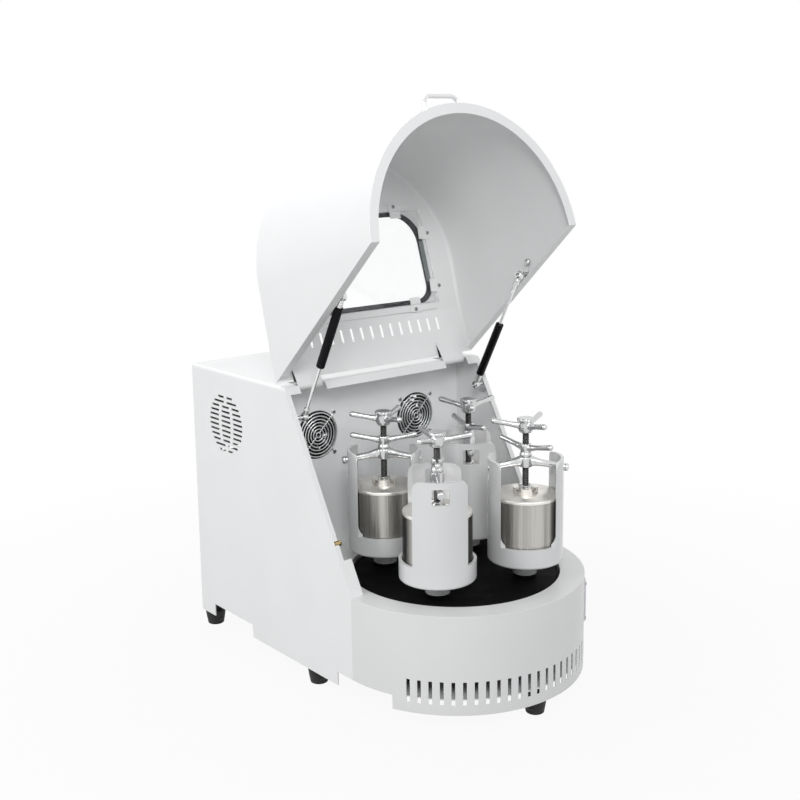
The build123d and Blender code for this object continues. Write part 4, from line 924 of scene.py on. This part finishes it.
def hood_fittings():
    piece("turned_stop_pins", stop_pins(), brass, "cabinet", "brass", "stop_pins")
    piece("window_clip_screws", clip_screws(), screw_metal, "hood", "zinc_steel", where=OPENED)
    piece("gasket_band", gasket_band(), gasket_rubber, "hood", "gasket", "window_gasket", where=OPENED)
    piece("gasket_sides", gasket_sides(), gasket_grey, "hood", "gasket", where=OPENED)
    piece("window_frame_strips", frame_strips(), white_paint, "hood", "white_paint", where=OPENED)
    piece("clip_plates", clip_plates(), white_paint, "hood", "white_paint", "window_clips", where=OPENED)
    piece("strut_wall_bolts", wall_bolts(), fitting_metal, "hood", "zinc_steel")
    # painted shade: dark wedges in the gaps at the hinge covers' sides
    piece("hinge_gap_painted_shade", gap_shade_wedges(), rubber, "hood", "rubber")
    piece("hinge_covers", hinge_covers(), white_paint, "hood", "white_paint")
    piece("hinge_leaf_screws", leaf_screws(), screw_metal, "cabinet", "zinc_steel")


# ================================================================ feet, controls, inlet
def feet_mesh():
    bm = bmesh.new()
    for x, y in ((-213, 494), (213, 494), (-213, 132), (213, 132), (0, -207)):
        lathe(bm, [(0, 1.2), (9, 1.2), (9.6, 0.0), (15.0, 0.0), (16.0, 0.8), (16.8, 5), (16.2, 6), (17.2, 7.2),
                   (18.4, 14), (17.8, 15), (18.8, 16.2), (20.2, 27), (20.3, 28.6), (19.4, 29.7), (12.2, 30),
                   (12, 30.4), (12, 55.8), (0, 55.8)], move(x, y, 0), 40)
    return bm


def drum_patch(bm, a0, a1, z0, z1, r0, r1, steps=12, soft=0.0):
    """A slab that follows the drum between two azimuths, degrees round from the front."""
    rows = []
    for i in range(steps + 1):
        angle = radians(a0 + (a1 - a0) * i / steps)
        rows.append([bm.verts.new((r * sin(angle), -r * cos(angle), z)) for r, z in
                     ((r0, z0), (r1 - soft, z0), (r1, z0 + soft), (r1, z1 - soft), (r1 - soft, z1), (r0, z1))])
    for a, b in zip(rows, rows[1:]):
        for i in range(6):
            j = (i + 1) % 6
            bm.faces.new((a[i], a[j], b[j], b[i]))
    bm.faces.new(rows[0])
    bm.faces.new(rows[-1][::-1])


def controls():
    bm = bmesh.new()
    drum_patch(bm, 47.25, 61.75, 132.6, 171.4, 236.5, 237.0, 14, 0.2)
    piece("display_glass", bm, display_glass, "cabinet", "fascia")
    bm = bmesh.new()
    for z in (160.0, 132.0):
        at = turn(69.5) @ move(0, -238, z) @ turn(90, "X")
        lathe(bm, [(8.5, -0.4), (8.5, 1.2), (8.9, 1.8), (10.2, 1.8), (11.2, 1.0), (11.4, -0.4)], at, 40, closed=True)
    piece("button_bezels", bm, screw_metal, "cabinet", "zinc_steel")
    bm = bmesh.new()
    for azimuth in (45.2, 74.8):
        for z in (112.5, 177.5):
            at = turn(azimuth) @ move(0, -238, z) @ turn(90, "X")
            lathe(bm, [(2.5, -0.3), (2.5, 0.5), (1.9, 1.2), (0.8, 1.3), (0.7, 0.8), (0, 0.8)], at, 18)
    piece("fascia_screws", bm, screw_metal, "cabinet", "zinc_steel")
    bm = bmesh.new()
    for x, z in ((131, 97), (169, 97), (131, 145), (169, 145)):
        lathe(bm, [(2.4, -0.2), (2.4, 0.3), (1.7, 1.0), (0.7, 1.1), (0.6, 0.5), (0, 0.5)],
              move(x, 511.5, z) @ turn(-90, "X"), 18)
    piece("inlet_screws", bm, screw_metal, "cabinet", "zinc_steel")
    bm = bmesh.new()
    for x in (-215, 0, 215):
        for z in (75, 300, 520):
            lathe(bm, [(3.8, -0.2), (3.8, 0.6), (3.0, 1.7), (1.2, 2.0), (1.1, 1.2), (0, 1.2)],
                  move(x, 508, z) @ turn(-90, "X"), 20)
    piece("rear_panel_screws", bm, screw_metal, "cabinet", "zinc_steel")
    piece("moulded_feet", feet_mesh(), rubber, "cabinet", "rubber", "feet")

clamps()
stations()
fans()
struts()
hood_fittings()
controls()
soften(0.5, "cabinet_shell", "front_drum", "hood_shell", "chassis_pan", "control_panel", "power_inlet")
soften(0.4, "cabinet_brackets", "hood_brackets", "power_switch", "start_button", "stop_button")
soften(0.6, "sun_disc", "motor")
for k in (1, 2, 3, 4):
    soften(0.7, f"jar_{k}")


# ================================================================ studio
def camera():
    data = bpy.data.cameras.new("photo_camera")
    data.sensor_width = SENSOR
    data.lens = LENS
    data.shift_x, data.shift_y = SHIFT
    data.clip_start = 0.05
    data.clip_end = 50.0
    made = bpy.data.objects.new("photo_camera", data)
    axes = Matrix((CAMERA_RIGHT, CAMERA_UP, [-a for a in CAMERA_AHEAD])).transposed()
    made.matrix_world = Matrix.Translation(CAMERA_PLACE) @ axes.to_4x4()
    scene.collection.objects.link(made)
    scene.camera = made


def softbox(name, place_at, target, size, power, tint=(1, 1, 1)):
    """A rectangular lamp that faces target."""
    data = bpy.data.lights.new(name, "AREA")
    data.shape = "RECTANGLE"
    data.size, data.size_y = size
    data.energy = power
    data.color = tint
    made = bpy.data.objects.new(name, data)
    made.location = place_at
    ahead = Vector(target) - Vector(place_at)
    made.rotation_euler = ahead.to_track_quat("-Z", "Y").to_euler()
    scene.collection.objects.link(made)
    return made


def seen_directly(tree):
    """1 for camera, glossy and transmission rays, 0 for the rest."""
    path = node(tree, "ShaderNodeLightPath")
    first = node(tree, "ShaderNodeMath", operation="MAXIMUM")
    second = node(tree, "ShaderNodeMath", operation="MAXIMUM")
    link(tree, path, "Is Camera Ray", first, 0)
    link(tree, path, "Is Glossy Ray", first, 1)
    link(tree, first, 0, second, 0)
    link(tree, path, "Is Transmission Ray", second, 1)
    return second


def world():
    made = bpy.data.worlds.new("studio")
    made.use_nodes = True
    scene.world = made
    tree = made.node_tree
    tree.nodes.clear()
    ambient = node(tree, "ShaderNodeBackground", Color=(0.96, 0.98, 1.0, 1), Strength=0.48)
    shown = node(tree, "ShaderNodeBackground", Color=(1, 1, 1, 1), Strength=1.0)
    mix = node(tree, "ShaderNodeMixShader")
    out = node(tree, "ShaderNodeOutputWorld")
    link(tree, seen_directly(tree), 0, mix, 0)
    link(tree, ambient, 0, mix, 1)
    link(tree, shown, 0, mix, 2)
    link(tree, mix, 0, out, 0)


def floor():
    made, tree, bsdf = shader("pale_floor")
    bsdf.inputs["Base Color"].default_value = (0.42, 0.42, 0.42, 1)
    bsdf.inputs["Roughness"].default_value = 0.9
    glow = node(tree, "ShaderNodeEmission", Color=(1, 1, 1, 1), Strength=1.0)
    mix = node(tree, "ShaderNodeMixShader")
    away = node(tree, "ShaderNodeVectorMath", operation="LENGTH")
    link(tree, node(tree, "ShaderNodeTexCoord"), "Object", away, 0)
    far = node(tree, "ShaderNodeMapRange", From_Min=0.45, From_Max=1.5, To_Min=0.93, To_Max=1.0)
    link(tree, away, "Value", far, "Value")
    share = node(tree, "ShaderNodeMath", operation="MULTIPLY")
    link(tree, seen_directly(tree), 0, share, 0)
    link(tree, far, 0, share, 1)
    link(tree, share, 0, mix, 0)
    link(tree, bsdf, 0, mix, 1)
    link(tree, glow, 0, mix, 2)
    link(tree, mix, 0, tree.nodes["Material Output"], 0)
    mesh = bpy.data.meshes.new("floor")
    half = 12.0
    mesh.from_pydata([(-half, -half, 0), (half, -half, 0), (half, half, 0), (-half, half, 0)], [], [(0, 1, 2, 3)])
    mesh.materials.append(made)
    plane = bpy.data.objects.new("floor", mesh)
    scene.collection.objects.link(plane)


camera()
world()
floor()
softbox("left_front_light", (-1.7, -2.2, 2.2), (0, 0, 0.6), (0.9, 0.9), 34)
softbox("front_light", (0.3, -2.8, 1.9), (0, 0, 0.5), (0.9, 0.9), 12)
softbox("side_light", (-3.1, 0.8, 2.0), (0, 0, 0.55), (2.0, 2.0), 41)
softbox("top_light", (0.0, 2.0, 3.0), (0, 0.1, 0.6), (2.0, 2.0), 27)
